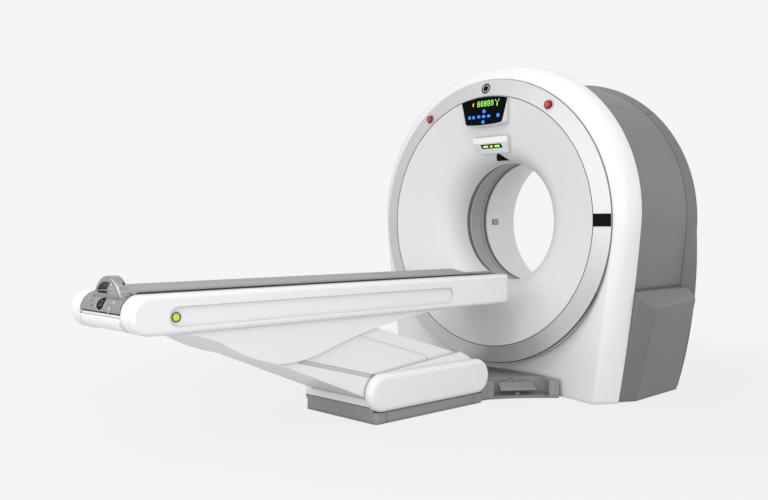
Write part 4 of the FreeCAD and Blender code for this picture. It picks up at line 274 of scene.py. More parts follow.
MATERIALS = {
    "cover_white": moulded("white_cover", grey(0.88), 0.36, tone=0.02, depth=0.03, coat=0.15,
                           coat_rough=0.2),
    "cover_grey": moulded("grey_cover", grey(0.175), 0.46, tone=0.05, depth=0.08, crease_shade=0.7,
                          edge=0.5),
    "ring_silver": moulded("silver_ring", (0.61, 0.61, 0.615, 1), 0.36, tone=0.02, scale=1600.0,
                           depth=0.03, metallic=0.42),
    "window_grey": moulded("window_film", grey(0.40), 0.5, tone=0.05),
    "base_grey": moulded("grained_grey", grey(0.29), 0.5, tone=0.06, scale=700.0, depth=0.18,
                         crease_shade=0.8, edge=1.2),
    "screen_black": moulded("screen_glass", grey(0.003), 0.2, tone=0.1, patch=0.03, depth=0.0,
                            specular=0.03),
    "plate_black": moulded("black_plate", grey(0.004), 0.4, tone=0.1, patch=0.05, specular=0.04),
    "lens_clear": moulded("lamp_lens", (0.004, 0.005, 0.004, 1), 0.2, depth=0.01, specular=0.05),
    "stop_red": moulded("stop_red", (0.50, 0.003, 0.006, 1), 0.32, depth=0.03, crease_shade=0.2,
                        specular=0.3),
    "button_yellow": moulded("button_yellow", (1.0, 0.93, 0.0, 1), 0.4, depth=0.02, crease_shade=0.0),
    "cradle_grey": moulded("cradle_laminate", grey(0.335), 0.42, tone=0.05, scale=500.0, depth=0.1),
    "handle_metal": brushed("cast_handle", grey(0.36), 0.24, stretch=(60.0, 700.0, 700.0)),
    "frame_steel": moulded("powder_coat", grey(0.22), 0.5, scale=1200.0, depth=0.2),
    "shaft_steel": brushed("ground_steel", grey(0.45), 0.28, stretch=(40.0, 900.0, 900.0)),
    "rotor_alloy": brushed("machined_alloy", grey(0.5), 0.35, stretch=(300.0, 300.0, 300.0)),
    "case_metal": moulded("dark_case", (0.05, 0.06, 0.075, 1), 0.45, scale=1200.0, depth=0.15),
    "contact_brass": brushed("contact_brass", (0.55, 0.38, 0.12, 1), 0.3,
                             stretch=(300.0, 60.0, 300.0)),
    "belt_rubber": moulded("belt_rubber", grey(0.02), 0.7, scale=1500.0, depth=0.3),
    "glide_plastic": moulded("glide_plastic", (0.7, 0.68, 0.6, 1), 0.4),
}
SEAL = moulded("seal_dark", grey(0.03), 0.6, tone=0.1)
BAND_DARK = moulded("band_dark", grey(0.13), 0.5, tone=0.05)
BAND_LIGHT = moulded("band_light", grey(0.55), 0.4, tone=0.05)
# Painted shade: a mid grey laid in the arm cover's groove, where shade falls.
GROOVE_SHADE_GREY = moulded("groove_painted_shade", grey(0.62), 0.5)
CHROME = brushed("bright_trim", grey(0.7), 0.2, depth=0.03)
STOP_DARK = moulded("stop_dark", (0.22, 0.004, 0.006, 1), 0.35)
STOP_PALE = moulded("stop_pale", (0.75, 0.42, 0.42, 1), 0.4)
SOFT_LINE = moulded("seam_grey", grey(0.22), 0.55, tone=0.1)
LIT_GREEN = glowing("lit_green", (0.30, 0.95, 0.10, 1), 1.0)
LIT_ORANGE = glowing("lit_orange", (1.0, 0.42, 0.06, 1), 1.2)
LIT_BLUE = glowing("lit_blue", (0.005, 0.19, 0.93, 1), 0.9)


# Painted shade: a darker copy of the white cover for the bell mouth, standing in for the shade inside
# the bell.
SHADED_FUNNEL_WHITE = moulded("funnel_white_shaded", grey(0.775), 0.42, tone=0.02, depth=0.03)


def dress_nodes():
    """Give every CAD node the finish that its material slot stands for, but the bell mouth a darker
    copy of the white cover, which is painted shade.
    """
    special = {"funnel_cover": SHADED_FUNNEL_WHITE}
    for part in frame["record"]["subparts"]:
        mesh = nodes[part["node"]].data
        mesh.materials.clear()
        mesh.materials.append(special.get(part["node"], MATERIALS[part["material_slot"]]))


# ---------------------------------------------------------------- building pieces


def piece(name, bm, material, body, smooth=True, bevel=0.0, place=None):
    """Turn a bmesh into an object that rides on a CAD body. The bevel is in metres."""
    bmesh.ops.recalc_face_normals(bm, faces=bm.faces)
    mesh = bpy.data.meshes.new(name)
    bm.to_mesh(mesh)
    bm.free()
    made = bpy.data.objects.new(name, mesh)
    bpy.context.scene.collection.objects.link(made)
    if place is not None:
        made.matrix_world = place
    mesh.materials.append(material)
    if smooth:
        for face in mesh.polygons:
            face.use_smooth = True
    if bevel:
        soften = made.modifiers.new("soften", "BEVEL")
        soften.width = bevel
        soften.segments = 3
        soften.limit_method = "ANGLE"
        soften.angle_limit = math.radians(40)
        soften.harden_normals = True
    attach(made, body)
    return made


def bridge(bm, here, there):
    """Quads between two closed loops of as many points."""
    for index in range(len(here)):
        following = (index + 1) % len(here)
        bm.faces.new((here[index], there[index], there[following], here[following]))


def lathe(bm, profile, low=0.0, high=360.0, steps=180):
    """Sweep a closed (y, radius) profile about the bore's axis, from one angle to another."""
    whole = high - low >= 360
    count = max(3, int(steps * (high - low) / 360))
    loops = []
    for step in range(count if whole else count + 1):
        angle = math.radians(low + (high - low) * step / count)
        across, rise = math.sin(angle), math.cos(angle)
        loops.append([bm.verts.new((radius * across, along, ISO + radius * rise))
                      for along, radius in profile])
    for here, there in zip(loops, loops[1:] + loops[:1] if whole else loops[1:]):
        bridge(bm, here, there)
    if not whole:
        bm.faces.new(loops[0])
        bm.faces.new(loops[-1])


def slab(bm, outline, low, high, axis="y"):
    """Extrude an outline of (x, z) points along y, or one of (y, z) points along x."""
    near, far = ([bm.verts.new((first, along, second) if axis == "y" else (along, first, second))
                  for first, second in outline] for along in (low, high))
    bm.faces.new(near)
    bm.faces.new(far)
    bridge(bm, near, far)


def skin(name):
    """A CAD node's surface, on which a detail is set."""
    mesh = nodes[name].data
    return BVHTree.FromPolygons([vertex.co.copy() for vertex in mesh.vertices],
                                [tuple(face.vertices) for face in mesh.polygons])


def outermost(skins, angle, along):
    """The outermost point of some covers, at an angle from the top round the bore's axis."""
    out = Vector((math.sin(math.radians(angle)), 0, math.cos(math.radians(angle))))
    start = Vector((0, along, ISO)) + out * 1.7
    hits = [each.ray_cast(start, -out, 1.5) for each in skins]
    reached = [(hit[3], hit[0]) for hit in hits if hit[0] is not None]
    return (min(reached)[1], out) if reached else (None, out)


def ribbon(bm, spots, across, half_width, lift, sink):
    """A strip over a row of (point, outward) spots, as wide either side as half_width."""
    rows = []
    for point, out in spots:
        high, low = point + out * lift, point - out * sink
        rows.append([bm.verts.new(spot) for spot in (
            high - across * half_width, high + across * half_width,
            low + across * half_width, low - across * half_width)])
    for here, there in zip(rows, rows[1:]):
        bridge(bm, here, there)
    bm.faces.new(rows[0])
    bm.faces.new(rows[-1])


def facing(point, normal, up=(0, 0, 1)):
    """A place whose local -Y looks along normal, with Z as near up as can be."""
    back = -Vector(normal).normalized()
    side = back.cross(Vector(up)).normalized()
    rise = side.cross(back)
    return Matrix.Translation(point) @ Matrix((side, back, rise)).transposed().to_4x4()


def washer(bm, inner, outer, low, high, steps=40, stretch=1.0):
    """A flat ring in the local XZ plane, from low to high along Y."""
    loops = []
    for step in range(steps):
        turn = math.tau * step / steps
        across, rise = math.cos(turn), math.sin(turn) * stretch
        loops.append([bm.verts.new((radius * across, along, radius * rise))
                      for radius, along in ((inner, low), (outer, low), (outer, high),
                                            (inner, high))])
    for here, there in zip(loops, loops[1:] + loops[:1]):
        bridge(bm, here, there)


def rounded_outline(half_wide, half_tall, corner, centre=(0, 0), steps=6):
    spots = []
    for quarter, (side, rise) in enumerate(((1, 1), (-1, 1), (-1, -1), (1, -1))):
        for step in range(steps + 1):
            turn = math.radians(90 * quarter + 90 * step / steps)
            spots.append((centre[0] + side * (half_wide - corner) + corner * math.cos(turn),
                          centre[1] + rise * (half_tall - corner) + corner * math.sin(turn)))
    return spots


# ---------------------------------------------------------------- gantry front


def ring_seals():
    """Dark joint lines either side of the ring, and under its lower part a wider dark arc, which is a
    painted shadow.
    """
    bm = bmesh.new()
    lathe(bm, [(RING_FRONT - 0.6 * MM, RING_RIM_RADIUS - 3 * MM),
               (RING_FRONT - 0.6 * MM, RING_RIM_RADIUS + 0.6 * MM),
               (RING_FRONT + 2 * MM, RING_RIM_RADIUS + 0.6 * MM),
               (RING_FRONT + 2 * MM, RING_RIM_RADIUS - 3 * MM)])
    piece("ring_inner_seal", bm, SEAL, "base")
    bm = bmesh.new()
    lathe(bm, [(RING_EDGE_Y + 9 * MM, RING_RADIUS + 0.2 * MM),
               (RING_EDGE_Y + 9 * MM, RING_RADIUS + 3.2 * MM),
               (RING_EDGE_Y + 14 * MM, RING_RADIUS + 3.2 * MM),
               (RING_EDGE_Y + 14 * MM, RING_RADIUS + 0.2 * MM)])
    piece("ring_outer_seal", bm, SOFT_LINE, "base")
    # Painted shadow: a wider, darker arc under the lower part of the ring, where it overhangs the
    # cover.
    bm = bmesh.new()
    lathe(bm, [(RING_EDGE_Y + 7 * MM, RING_RADIUS + 0.4 * MM),
               (RING_EDGE_Y + 7 * MM, RING_RADIUS + 4.2 * MM),
               (RING_EDGE_Y + 13 * MM, RING_RADIUS + 4.2 * MM),
               (RING_EDGE_Y + 13 * MM, RING_RADIUS + 0.4 * MM)], 118, 236)
    piece("ring_lower_shadow", bm, SEAL, "base")


WINDOW_SLOPE = 17.0 / 216.0             # the scan window widens towards the back
BAND_START, BAND_RADIUS = -111 * MM, 352 * MM


def bore_band(name, start, end, proud, material):
    """One ring laid on the inside of the scan window, between two distances along the bore."""
    near, far = (BAND_RADIUS + (along - BAND_START) * WINDOW_SLOPE for along in (start, end))
    bm = bmesh.new()
    lathe(bm, [(start, near + 0.4 * MM), (end, far + 0.4 * MM), (end, far - proud),
               (start, near - proud)])
    piece(name, bm, material, "base", bevel=0.3 * MM)


def bore_bands():
    """Dark seals at both ends of the scan window, and the thin pale rings beside them."""
    for name, start, end, proud, material in (
            ("window_seal_front", -104, -74, 1.0, BAND_DARK),
            ("window_ring_front", -74, -63, 1.8, BAND_LIGHT),
            ("window_ring_rear", 52, 61, 1.8, BAND_LIGHT),
            ("window_seal_rear", 78, 101, 1.0, BAND_DARK)):
        bore_band(name, start * MM, end * MM, proud * MM, material)


def intercom():
    """The small speaker grille on the left of the rear bore."""
    place = facing((-378.5 * MM, 207 * MM, ISO), (0.998, 0.067, 0.0))
    bm = bmesh.new()
    slab(bm, rounded_outline(34 * MM, 19 * MM, 11 * MM), -2.2 * MM, 3 * MM)
    piece("intercom_plate", bm, SOFT_LINE, "base", False, 0.8 * MM, place)
    for number, rise in enumerate((-9, 0, 9)):
        bm = bmesh.new()
        slab(bm, rounded_outline(24 * MM, 2.6 * MM, 2.2 * MM, (0, rise * MM)), -3.4 * MM, -1 * MM)
        piece(f"intercom_rib_{number}", bm, BAND_LIGHT, "base", False, 0.6 * MM,
              place)


def laser_cover():
    """The black window on the bell mouth: a rounded triangle that follows the bell's curve."""
    bell = skin("funnel_cover")
    rows, columns = 14, 12
    start, end = -237 * MM, -187 * MM
    bm = bmesh.new()
    sheets = []
    for lift in (2.4 * MM, -1.0 * MM):
        sheet = []
        for row in range(rows + 1):
            along = start + (end - start) * row / rows
            half = 47 * MM * ((along - start + 1.2 * MM) / (end - start)) ** 0.62
            sheet.append([])
            for column in range(columns + 1):
                x = half * (2 * column / columns - 1)
                bow = along + 5 * MM * (1 - (x / (48 * MM)) ** 2) * row / rows
                out = Vector((x / (375 * MM), 0, 1)).normalized()
                hit = bell.ray_cast(Vector((0, bow, ISO)), out, 1.0)[0]
                sheet[-1].append(bm.verts.new(hit - out * lift))
        sheets.append(sheet)
    for sheet in sheets:
        for row in range(rows):
            for column in range(columns):
                bm.faces.new((sheet[row][column], sheet[row][column + 1],
                              sheet[row + 1][column + 1], sheet[row + 1][column]))
    def wall(first, second):
        for index in range(len(first) - 1):
            bm.faces.new((first[index], first[index + 1], second[index + 1], second[index]))
    face, back = sheets
    wall(face[0], back[0])
    wall(face[-1], back[-1])
    wall([row[0] for row in face], [row[0] for row in back])
    wall([row[-1] for row in face], [row[-1] for row in back])
    made = piece("laser_cover", bm, MATERIALS["plate_black"], "base", False,
                 0.8 * MM)
    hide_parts("laser_window")


def ring_point(angle, out):
    """A spot on the ring's face: angle from the top, out from its inner edge. Also its normal."""
    slope = (RING_EDGE_Y - RING_FRONT) / (RING_RADIUS - RING_RIM_RADIUS)
    radius = RING_RIM_RADIUS + out
    across, rise = math.sin(math.radians(angle)), math.cos(math.radians(angle))
    normal = Vector((across * slope, -1, rise * slope)).normalized()
    return Vector((radius * across, RING_FRONT + out * slope, ISO + radius * rise)), normal


def ring_plate():
    """A plain round plate at the top of the ring: dark disc, bright rim and inner ring."""
    point, normal = ring_point(0, 45 * MM)
    place = facing(point, normal)
    for name, inner, outer, proud, material in (
            ("ring_plate_disc", 0.5, 30.5, 1.6, MATERIALS["plate_black"]),
            ("ring_plate_rim", 30.5, 33.5, 2.0, CHROME),
            ("ring_plate_band", 18, 22, 2.1, CHROME)):
        bm = bmesh.new()
        washer(bm, inner * MM, outer * MM, -proud * MM, 0.5 * MM)
        piece(name, bm, material, "base", False, 0.4 * MM, place)


def stop_details():
    """Collar and dark joint round each stop button, and the raised ring on its red head."""
    for side, name in ((-1, "left"), (1, "right")):
        point, normal = ring_point(side * 34.8, 44 * MM)
        place = facing(point, normal)
        for label, inner, outer, proud, material in (("joint", 21.6, 24.4, 1.0, SEAL),
                                                     ("collar", 24.4, 29, 2.2, BAND_LIGHT)):
            bm = bmesh.new()
            washer(bm, inner * MM, outer * MM, -proud * MM, 1 * MM)
            piece(f"stop_{label}_{name}", bm, material, "base", False, 0.5 * MM,
                  place)
        low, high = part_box(f"stop_button_{name}")
        head = Matrix.Translation(((low.x + high.x) / 2, low.y, (low.z + high.z) / 2))
        for label, inner, outer, proud, material in (
                ("rim", 16.5, 19.5, 1.0, STOP_DARK), ("mark", 7, 9.5, 1.2, STOP_PALE)):
            bm = bmesh.new()
            washer(bm, inner * MM, outer * MM, -proud * MM, 2.2 * MM)
            piece(f"stop_{label}_{name}", bm, material, f"stop_{name}", False,
                  0.4 * MM, head)


def gantry_lines():
    """Thin dark joints where the front cover, the shell and the rear cover meet."""
    front = [skin("front_cover"), skin("top_cover"), skin("side_cover_left"),
             skin("side_cover_right")]
    rear = [skin("rear_cover"), skin("top_cover"), skin("side_cover_left"),
            skin("side_cover_right")]
    across = Vector((0, 1, 0))
    for name, skins, along, reach, half in (("front_joint", front, -206.4, 140, 1.9),
                                            ("rear_joint", rear, 387.0, 140, 1.9)):
        spots = []
        for step in range(181):
            angle = -reach + 2 * reach * step / 180
            point, out = outermost(skins, angle, along * MM)
            if point is not None:
                spots.append((point, out))
        bm = bmesh.new()
        ribbon(bm, spots, across, half * MM, 0.5 * MM, 2.5 * MM)
        piece(name, bm, SEAL, "base", False)
    for name, angle in (("rim_slit_left", -44.2), ("rim_slit_right", 44.2)):
        spots = [outermost(rear, angle, (392 + 4 * step) * MM) for step in range(15)]
        bm = bmesh.new()
        side = Vector((math.cos(math.radians(angle)), 0, -math.sin(math.radians(angle))))
        ribbon(bm, [spot for spot in spots if spot[0] is not None], side, 2.6 * MM, 0.6 * MM,
               2.5 * MM)
        piece(name, bm, SEAL, "base", False)


# ---------------------------------------------------------------- display

DISPLAY_TILT = math.radians(2)
DISPLAY_PLACE = (Matrix.Translation((0, -369 * MM, 1612 * MM))
                 @ Matrix.Rotation(-DISPLAY_TILT, 4, "X"))
SCREEN_FACE = -1.6 * MM
SEGMENTS = {
    "top": (0, 1, True), "middle": (0, 0, True), "bottom": (0, -1, True),
    "left_high": (-1, 0.5, False), "right_high": (1, 0.5, False),
    "left_low": (-1, -0.5, False), "right_low": (1, -0.5, False),
}


def bar(bm, x, z, half_length, half_width, level):
    """One lozenge-ended bar of a lit digit, level or upright."""
    point = half_width
    spots = [(-half_length, 0), (-half_length + point, -point), (half_length - point, -point),
             (half_length, 0), (half_length - point, point), (-half_length + point, point)]
    if not level:
        spots = [(b, a) for a, b in reversed(spots)]
    slab(bm, [(x + a, z + b) for a, b in spots], SCREEN_FACE - 0.4 * MM, SCREEN_FACE + 0.5 * MM)


def glass_outline():
    """The black glass: arched top under the ring, narrower bottom with round corners."""
    top_half, bottom_half, bend = 171 * MM, 136.5 * MM, 22 * MM
    crown, middle = 726 * MM, 1612 * MM
    low = -70 * MM
    spots = [(x, ISO + math.sqrt(crown ** 2 - x ** 2) - middle)
             for x in (top_half * (1 - step / 12) for step in range(25))]
    corner = [(-bottom_half - 3.5 * MM, low + bend), (-bottom_half, low),
              (-bottom_half + bend, low)]
    curve = []
    for step in range(8):
        share = step / 7
        curve.append(tuple((1 - share) ** 2 * first + 2 * share * (1 - share) * second
                           + share ** 2 * third for first, second, third in zip(*corner)))
    spots += curve
    flat = bottom_half - bend
    spots += [(flat * share, low - 5 * MM * (1 - share ** 2))
              for share in (-0.8, -0.4, 0, 0.4, 0.8)]
    spots += [(-x, z) for x, z in reversed(curve)]
    return spots


def display_marks():
    """The black glass and the generic signs on it: digits, two marks and eight blue keys."""
    green, orange, blue = bmesh.new(), bmesh.new(), bmesh.new()
    row = 49 * MM
    half_wide, half_tall = 7.2 * MM, 14.4 * MM
    for number in range(5):
        middle = (-40.3 + number * 25.4) * MM
        for across, up, level in SEGMENTS.values():
            reach = half_wide if level else half_tall / 2
            bar(green, middle + across * half_wide, row + up * half_tall, reach - 0.8 * MM,
                1.6 * MM, level)
    bar(green, 98 * MM, row - 12 * MM, 10 * MM, 2.6 * MM, False)
    for side in (-1, 1):
        for step in range(3):
            spot = 98 * MM + side * (4 + 5 * step) * MM
            bar(green, spot, row + (3 + 6 * step) * MM, 3.4 * MM, 1.9 * MM, False)
    bar(orange, -80 * MM, row - 1 * MM, 12 * MM, 1.9 * MM, False)
    bar(orange, -80 * MM, row + 4 * MM, 5.5 * MM, 1.7 * MM, True)
    bar(orange, -85 * MM, row - 5 * MM, 4 * MM, 1.6 * MM, False)
    # each key's middle and half sizes, in mm on the glass
    keys = ((2, 4, 12, 10), (-107, -25, 10, 10), (-76, -26, 9, 10), (-37, -25, 12, 8),
            (0, -26, 12, 9), (38, -26, 12, 8), (-4, -58, 11, 10), (106, -27, 11, 11))
    for x, z, half_wide, half_tall in keys:
        slab(blue, [(x * MM + half_wide * MM * math.cos(math.tau * step / 24),
                     z * MM + half_tall * MM * math.sin(math.tau * step / 24))
                    for step in range(24)], SCREEN_FACE - 0.8 * MM, SCREEN_FACE + 0.5 * MM)
    bm = bmesh.new()
    slab(bm, glass_outline(), SCREEN_FACE - 0.1 * MM, SCREEN_FACE + 1.6 * MM)
    piece("display_glass", bm, MATERIALS["screen_black"], "base", False, 0.6 * MM,
          DISPLAY_PLACE)
    bm = bmesh.new()
    slab(bm, rounded_outline(116 * MM, 20 * MM, 8 * MM, (10 * MM, row)), SCREEN_FACE - 0.3 * MM,
         SCREEN_FACE + 0.4 * MM)
    piece("digit_window", bm, MATERIALS["screen_black"], "base", False,
          place=DISPLAY_PLACE)
    piece("display_digits", green, LIT_GREEN, "base", False, place=DISPLAY_PLACE)
    piece("display_mark", orange, LIT_ORANGE, "base", False, place=DISPLAY_PLACE)
    piece("display_keys", blue, LIT_BLUE, "base", False, 0.4 * MM, DISPLAY_PLACE)


LENS_ALONG = Vector((0, 0.6946, -0.7194))       # down the lamp box's sloping underside
LENS_OUT = Vector((0, -0.7194, -0.6946))        # away from the box
LENS_TOP = Vector((0, -318 * MM, 1436 * MM))    # where that slope starts


def lens_point(x, along, out):
    return Vector((x, 0, 0)) + LENS_TOP + LENS_ALONG * along + LENS_OUT * out


def lamp_segments():
    """Two green lamps with an orange one between them, behind the lens of the lamp box."""
    high, low, slant = 19 * MM, 33 * MM, 4 * MM
    for name, start, end, material in (("left", -62, -22, LIT_GREEN),
                                       ("middle", -11, 11, LIT_ORANGE),
                                       ("right", 22, 62, LIT_GREEN)):
        bm = bmesh.new()
        corners = ((start * MM + slant, high), (end * MM, high), (end * MM - slant, low),
                   (start * MM, low))
        rows = [[bm.verts.new(lens_point(x, along, out)) for x, along in corners]
                for out in (0.4 * MM, 1.4 * MM)]
        for row in rows:
            bm.faces.new(row)
        bridge(bm, *rows)
        piece(f"lamp_{name}", bm, material, "base", False)


# ---------------------------------------------------------------- table

HANDLE_ROUND = 66 * MM
HANDLE_CENTRE_Y, HANDLE_CENTRE_Z = -2664 * MM, 606 * MM


def on_handle(x, turn, lift):
    """A spot on the handle block's rounded face: turn is the angle up from its nose."""
    angle = math.radians(turn)
    reach = HANDLE_ROUND + lift
    return Vector((x, HANDLE_CENTRE_Y - reach * math.cos(angle),
                   HANDLE_CENTRE_Z + reach * math.sin(angle)))


def handle_patch(bm, x, turn, half_wide, half_tall, lift, dome=0.0, inner=0.0):
    """An oval pad, domed or ring-shaped, wrapped over the block's rounded face."""
    steps, rings = 36, 5
    loops = []
    for ring in range(rings + 1):
        share = inner + (1 - inner) * ring / rings
        rise = lift + dome * (1 - share * share)
        loops.append([bm.verts.new(on_handle(
            x + half_wide * share * math.cos(math.tau * step / steps),
            turn + math.degrees(half_tall * share * math.sin(math.tau * step / steps)
                                / HANDLE_ROUND), rise)) for step in range(steps)])
    floors = [[bm.verts.new(on_handle(
        x + half_wide * share * math.cos(math.tau * step / steps),
        turn + math.degrees(half_tall * share * math.sin(math.tau * step / steps)
                            / HANDLE_ROUND), -1 * MM)) for step in range(steps)]
        for share in (1.0, inner)]
    chain = [floors[1]] + loops + [floors[0], floors[1]] if inner else loops + [floors[0]]
    for here, there in zip(chain, chain[1:]):
        for step in range(steps):
            following = (step + 1) % steps
            if here[step] is there[step]:
                continue
            bm.faces.new((here[step], here[following], there[following], there[step]))
    if not inner:
        bm.faces.new(floors[0])


def handle_details():
    """Plate, bosses and screws on the block, the hole in its loop, and the gaps beside it."""
    # x and turn place a pad; wide and tall are half sizes; inner is a ring's hole as a share.
    # Lengths are in mm and the turn in degrees up from the nose.
    for name, x, turn, wide, tall, lift, dome, inner, material in (
            ("handle_disc", -4.8, 28, 33, 29, 1.0, 0.4, 0.02, MATERIALS["plate_black"]),
            ("handle_disc_rim", -4.8, 28, 36, 31, 1.2, 0.3, 0.92, CHROME),
            ("handle_disc_band", -4.8, 28, 15, 13, 1.7, 0.2, 0.8, BAND_DARK),
            ("handle_boss_upper", 92.5, 40, 9, 12, 0.6, 2.4, 0.02, MATERIALS["handle_metal"]),
            ("handle_boss_upper_rim", 92.5, 40, 11.5, 14.5, 0.9, 0.6, 0.8, CHROME),
            ("handle_boss_upper_joint", 92.5, 40, 13.5, 16.5, 0.4, 0.2, 0.86, SEAL),
            ("handle_boss_lower", 75.6, 9, 9, 12, 0.6, 2.4, 0.02, MATERIALS["handle_metal"]),
            ("handle_boss_lower_rim", 75.6, 9, 11.5, 14.5, 0.9, 0.6, 0.8, CHROME),
            ("handle_boss_lower_joint", 75.6, 9, 13.5, 16.5, 0.4, 0.2, 0.86, SEAL),
            ("handle_screw_top", -101, 51, 4.5, 4.5, 0.5, 0.4, 0.02, SEAL),
            ("handle_screw_middle", -90, 34, 4.5, 4.5, 0.5, 0.4, 0.02, SEAL),
            ("handle_screw_low", -76.5, 17, 4.5, 4.5, 0.5, 0.4, 0.02, SEAL)):
        bm = bmesh.new()
        handle_patch(bm, x * MM, turn, wide * MM, tall * MM, lift * MM, dome * MM, inner)
        piece(name, bm, material, "cradle", True)
    place = facing((78 * MM, -2669 * MM, 714.7 * MM), (0.657, 0.0, 0.754), up=(0, 1, 0))
    for name, inner, outer, proud, material in (("loop_hole", 0.5, 8, 0.7, SEAL),
                                                ("loop_hole_rim", 8, 10, 1.2, CHROME)):
        bm = bmesh.new()
        washer(bm, inner * MM, outer * MM, -proud * MM, 2 * MM)
        piece(name, bm, material, "cradle", False, 0.3 * MM, place)
    for name, side in (("handle_gap_left", -1), ("handle_gap_right", 1)):
        outline = [(-2668 * MM, 604 * MM)] + [
            (HANDLE_CENTRE_Y - (HANDLE_ROUND - 3 * MM) * math.cos(math.radians(turn)),
             HANDLE_CENTRE_Z + (HANDLE_ROUND - 3 * MM) * math.sin(math.radians(turn)))
            for turn in range(0, 91, 6)]
        bm = bmesh.new()
        low, high = sorted((side * 167.5 * MM, side * 170.4 * MM))
        slab(bm, outline, low, high, axis="x")
        piece(name, bm, SEAL, "cradle", False)


def roundel(name, inner, outer, proud, depth, body, material, place, steps, bevel=0.0):
    """A flat ring or head, proud of the surface at a place; all its sizes are in mm."""
    bm = bmesh.new()
    washer(bm, inner * MM, outer * MM, -proud * MM, depth * MM, steps)
    piece(name, bm, material, body, False, bevel * MM, place)


def strip(name, spots, across, half_width, lift, sink, material, body):
    """A thin line of one material along a row of (point, outward) spots."""
    bm = bmesh.new()
    ribbon(bm, spots, across, half_width * MM, lift * MM, sink * MM)
    piece(name, bm, material, body, False)


def button_rings():
    """A dark ring round each yellow button."""
    for side, name in ((-1, "left"), (1, "right")):
        low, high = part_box(f"table_button_{name}")
        place = facing((side * 272 * MM, (low.y + high.y) / 2, (low.z + high.z) / 2),
                       (side, 0, 0))
        roundel(f"button_ring_{name}", 15.6, 20, 1.4, 1, "table", SEAL, place,
                40, 0.4)


def roll_lines(roll):
    """Two joint lines along the front of the end roll."""
    for name, height in (("roll_line_upper", 599.5), ("roll_line_lower", 588.0)):
        hit = roll.ray_cast(Vector((0, -3, height * MM)), Vector((0, 1, 0)), 2)[0]
        if hit is None:
            continue
        spots = [(Vector((x * MM, hit.y, height * MM)), Vector((0, -1, 0)))
                 for x in (-170, -85, 0, 85, 170)]
        strip(name, spots, Vector((0, 0, 1)), 1.3, 0.3, 2, SEAL, "table")


def roll_joint(roll, side, face):
    """The curved joint between the end roll and a side panel."""
    centre = Vector((side * 170.5 * MM, -2653.5 * MM, 599.5 * MM))
    start, sweep, steps = 4, 84, 12
    spots = []
    for step in range(steps + 1):
        turn = math.radians(start - sweep * step / steps)
        ray = Vector((0, -math.cos(turn), math.sin(turn)))
        hit = roll.ray_cast(centre + ray * 0.3, -ray, 0.3)[0]
        if hit is not None and hit.z < 600 * MM:
            spots.append((hit, ray))
    if len(spots) > 2:
        strip(f"roll_joint_{face}", spots, Vector((1, 0, 0)), 1.3, 0.4, 2, SOFT_LINE, "table")


def tray_dome(side, face):
    """A small dome in a dark ring on the tray, above its pedal."""
    place = facing((side * 237 * MM, -412 * MM, 96.8 * MM), (0, 0, 1), up=(0, 1, 0))
    for label, inner, outer, proud, material in (
            ("dome", 0.5, 8.5, 4.0, BAND_LIGHT), ("dome_ring", 8.5, 12, 0.8, SEAL)):
        roundel(f"tray_{label}_{face}", inner, outer, proud, 1, "base", material,
                place, 28, 0.3)


def plinth_details(side, face, out):
    """Screw heads and the dark line under the base cover."""
    for number, (y, z) in enumerate(((-807.5, 27.5), (-747, 29.3))):
        place = facing(Vector((side * PLINTH_SIDE, y * MM, z * MM)), out)
        for label, inner, outer, proud, material in (
                ("head", 0.5, 5.2, 1.2, BAND_LIGHT), ("ring", 5.2, 8.5, 0.6, SEAL)):
            roundel(f"plinth_{label}_{face}_{number}", inner, outer, proud, 1, "base",
                    material, place, 24)
    spots = [(Vector((side * PLINTH_SIDE, y * MM, 55.6 * MM)), out)
             for y in (-1465, -1090, -706)]
    strip(f"plinth_seal_{face}", spots, Vector((0, 0, 1)), 1.6, 0.5, 1, SEAL, "base")


def arm_groove_shade(side, face, out):
    """A grey strip in the shallow groove that runs up the side of the arm cover: painted shade in the
    groove.
    """
    spots = [(Vector((side * 232.3 * MM, y * MM, z * MM)), out)
             for y, z in ((-1422, 212.7), (-1920, 347.3))]
    strip(f"arm_groove_shade_{face}", spots, Vector((0, 0.26, 0.97)).normalized(), 9.6, 0.6, 0.4,
          GROOVE_SHADE_GREY, "lift")


def plinth_joints(side, face, out):
    """Two upright joint lines on the plinth's side."""
    for number, y in enumerate((-777, -1415)):
        spots = [(Vector((side * PLINTH_SIDE, y * MM, z * MM)), out) for z in (3, 30, 56)]
        strip(f"plinth_joint_{face}_{number}", spots, Vector((0, 1, 0)), 1.2, 0.4, 1, SEAL,
              "base")


def table_details():
    """What is drawn on the table's covers: rings, joints, screws, seals and grooves."""
    button_rings()
    roll = skin("end_roll")
    roll_lines(roll)
    spots = [(Vector((x * MM, PLINTH_FRONT, 75.4 * MM)), Vector((0, -1, 0)))
             for x in (-262, 0, 262)]
    strip("plinth_seal_front", spots, Vector((0, 0, 1)), 1.4, 0.5, 1, SEAL, "base")
    for side, face in ((-1, "left"), (1, "right")):
        out = Vector((side, 0, 0))
        tray_dome(side, face)
        plinth_details(side, face, out)
        arm_groove_shade(side, face, out)
        roll_joint(roll, side, face)
        plinth_joints(side, face, out)


# ---------------------------------------------------------------- room, light and camera

BACKDROP = (0.896, 0.913, 0.930, 1)     # a cool, very pale grey
FLOOR_COLOUR = (0.50, 0.50, 0.50, 1)
FLOOR_GLOW = 0.9                        # share of the backdrop's colour close to the machine
FILL = 0.56                             # strength of the light from all round
LAMP_DISTANCE = 6.0
LAMP_SIDE = 3.0
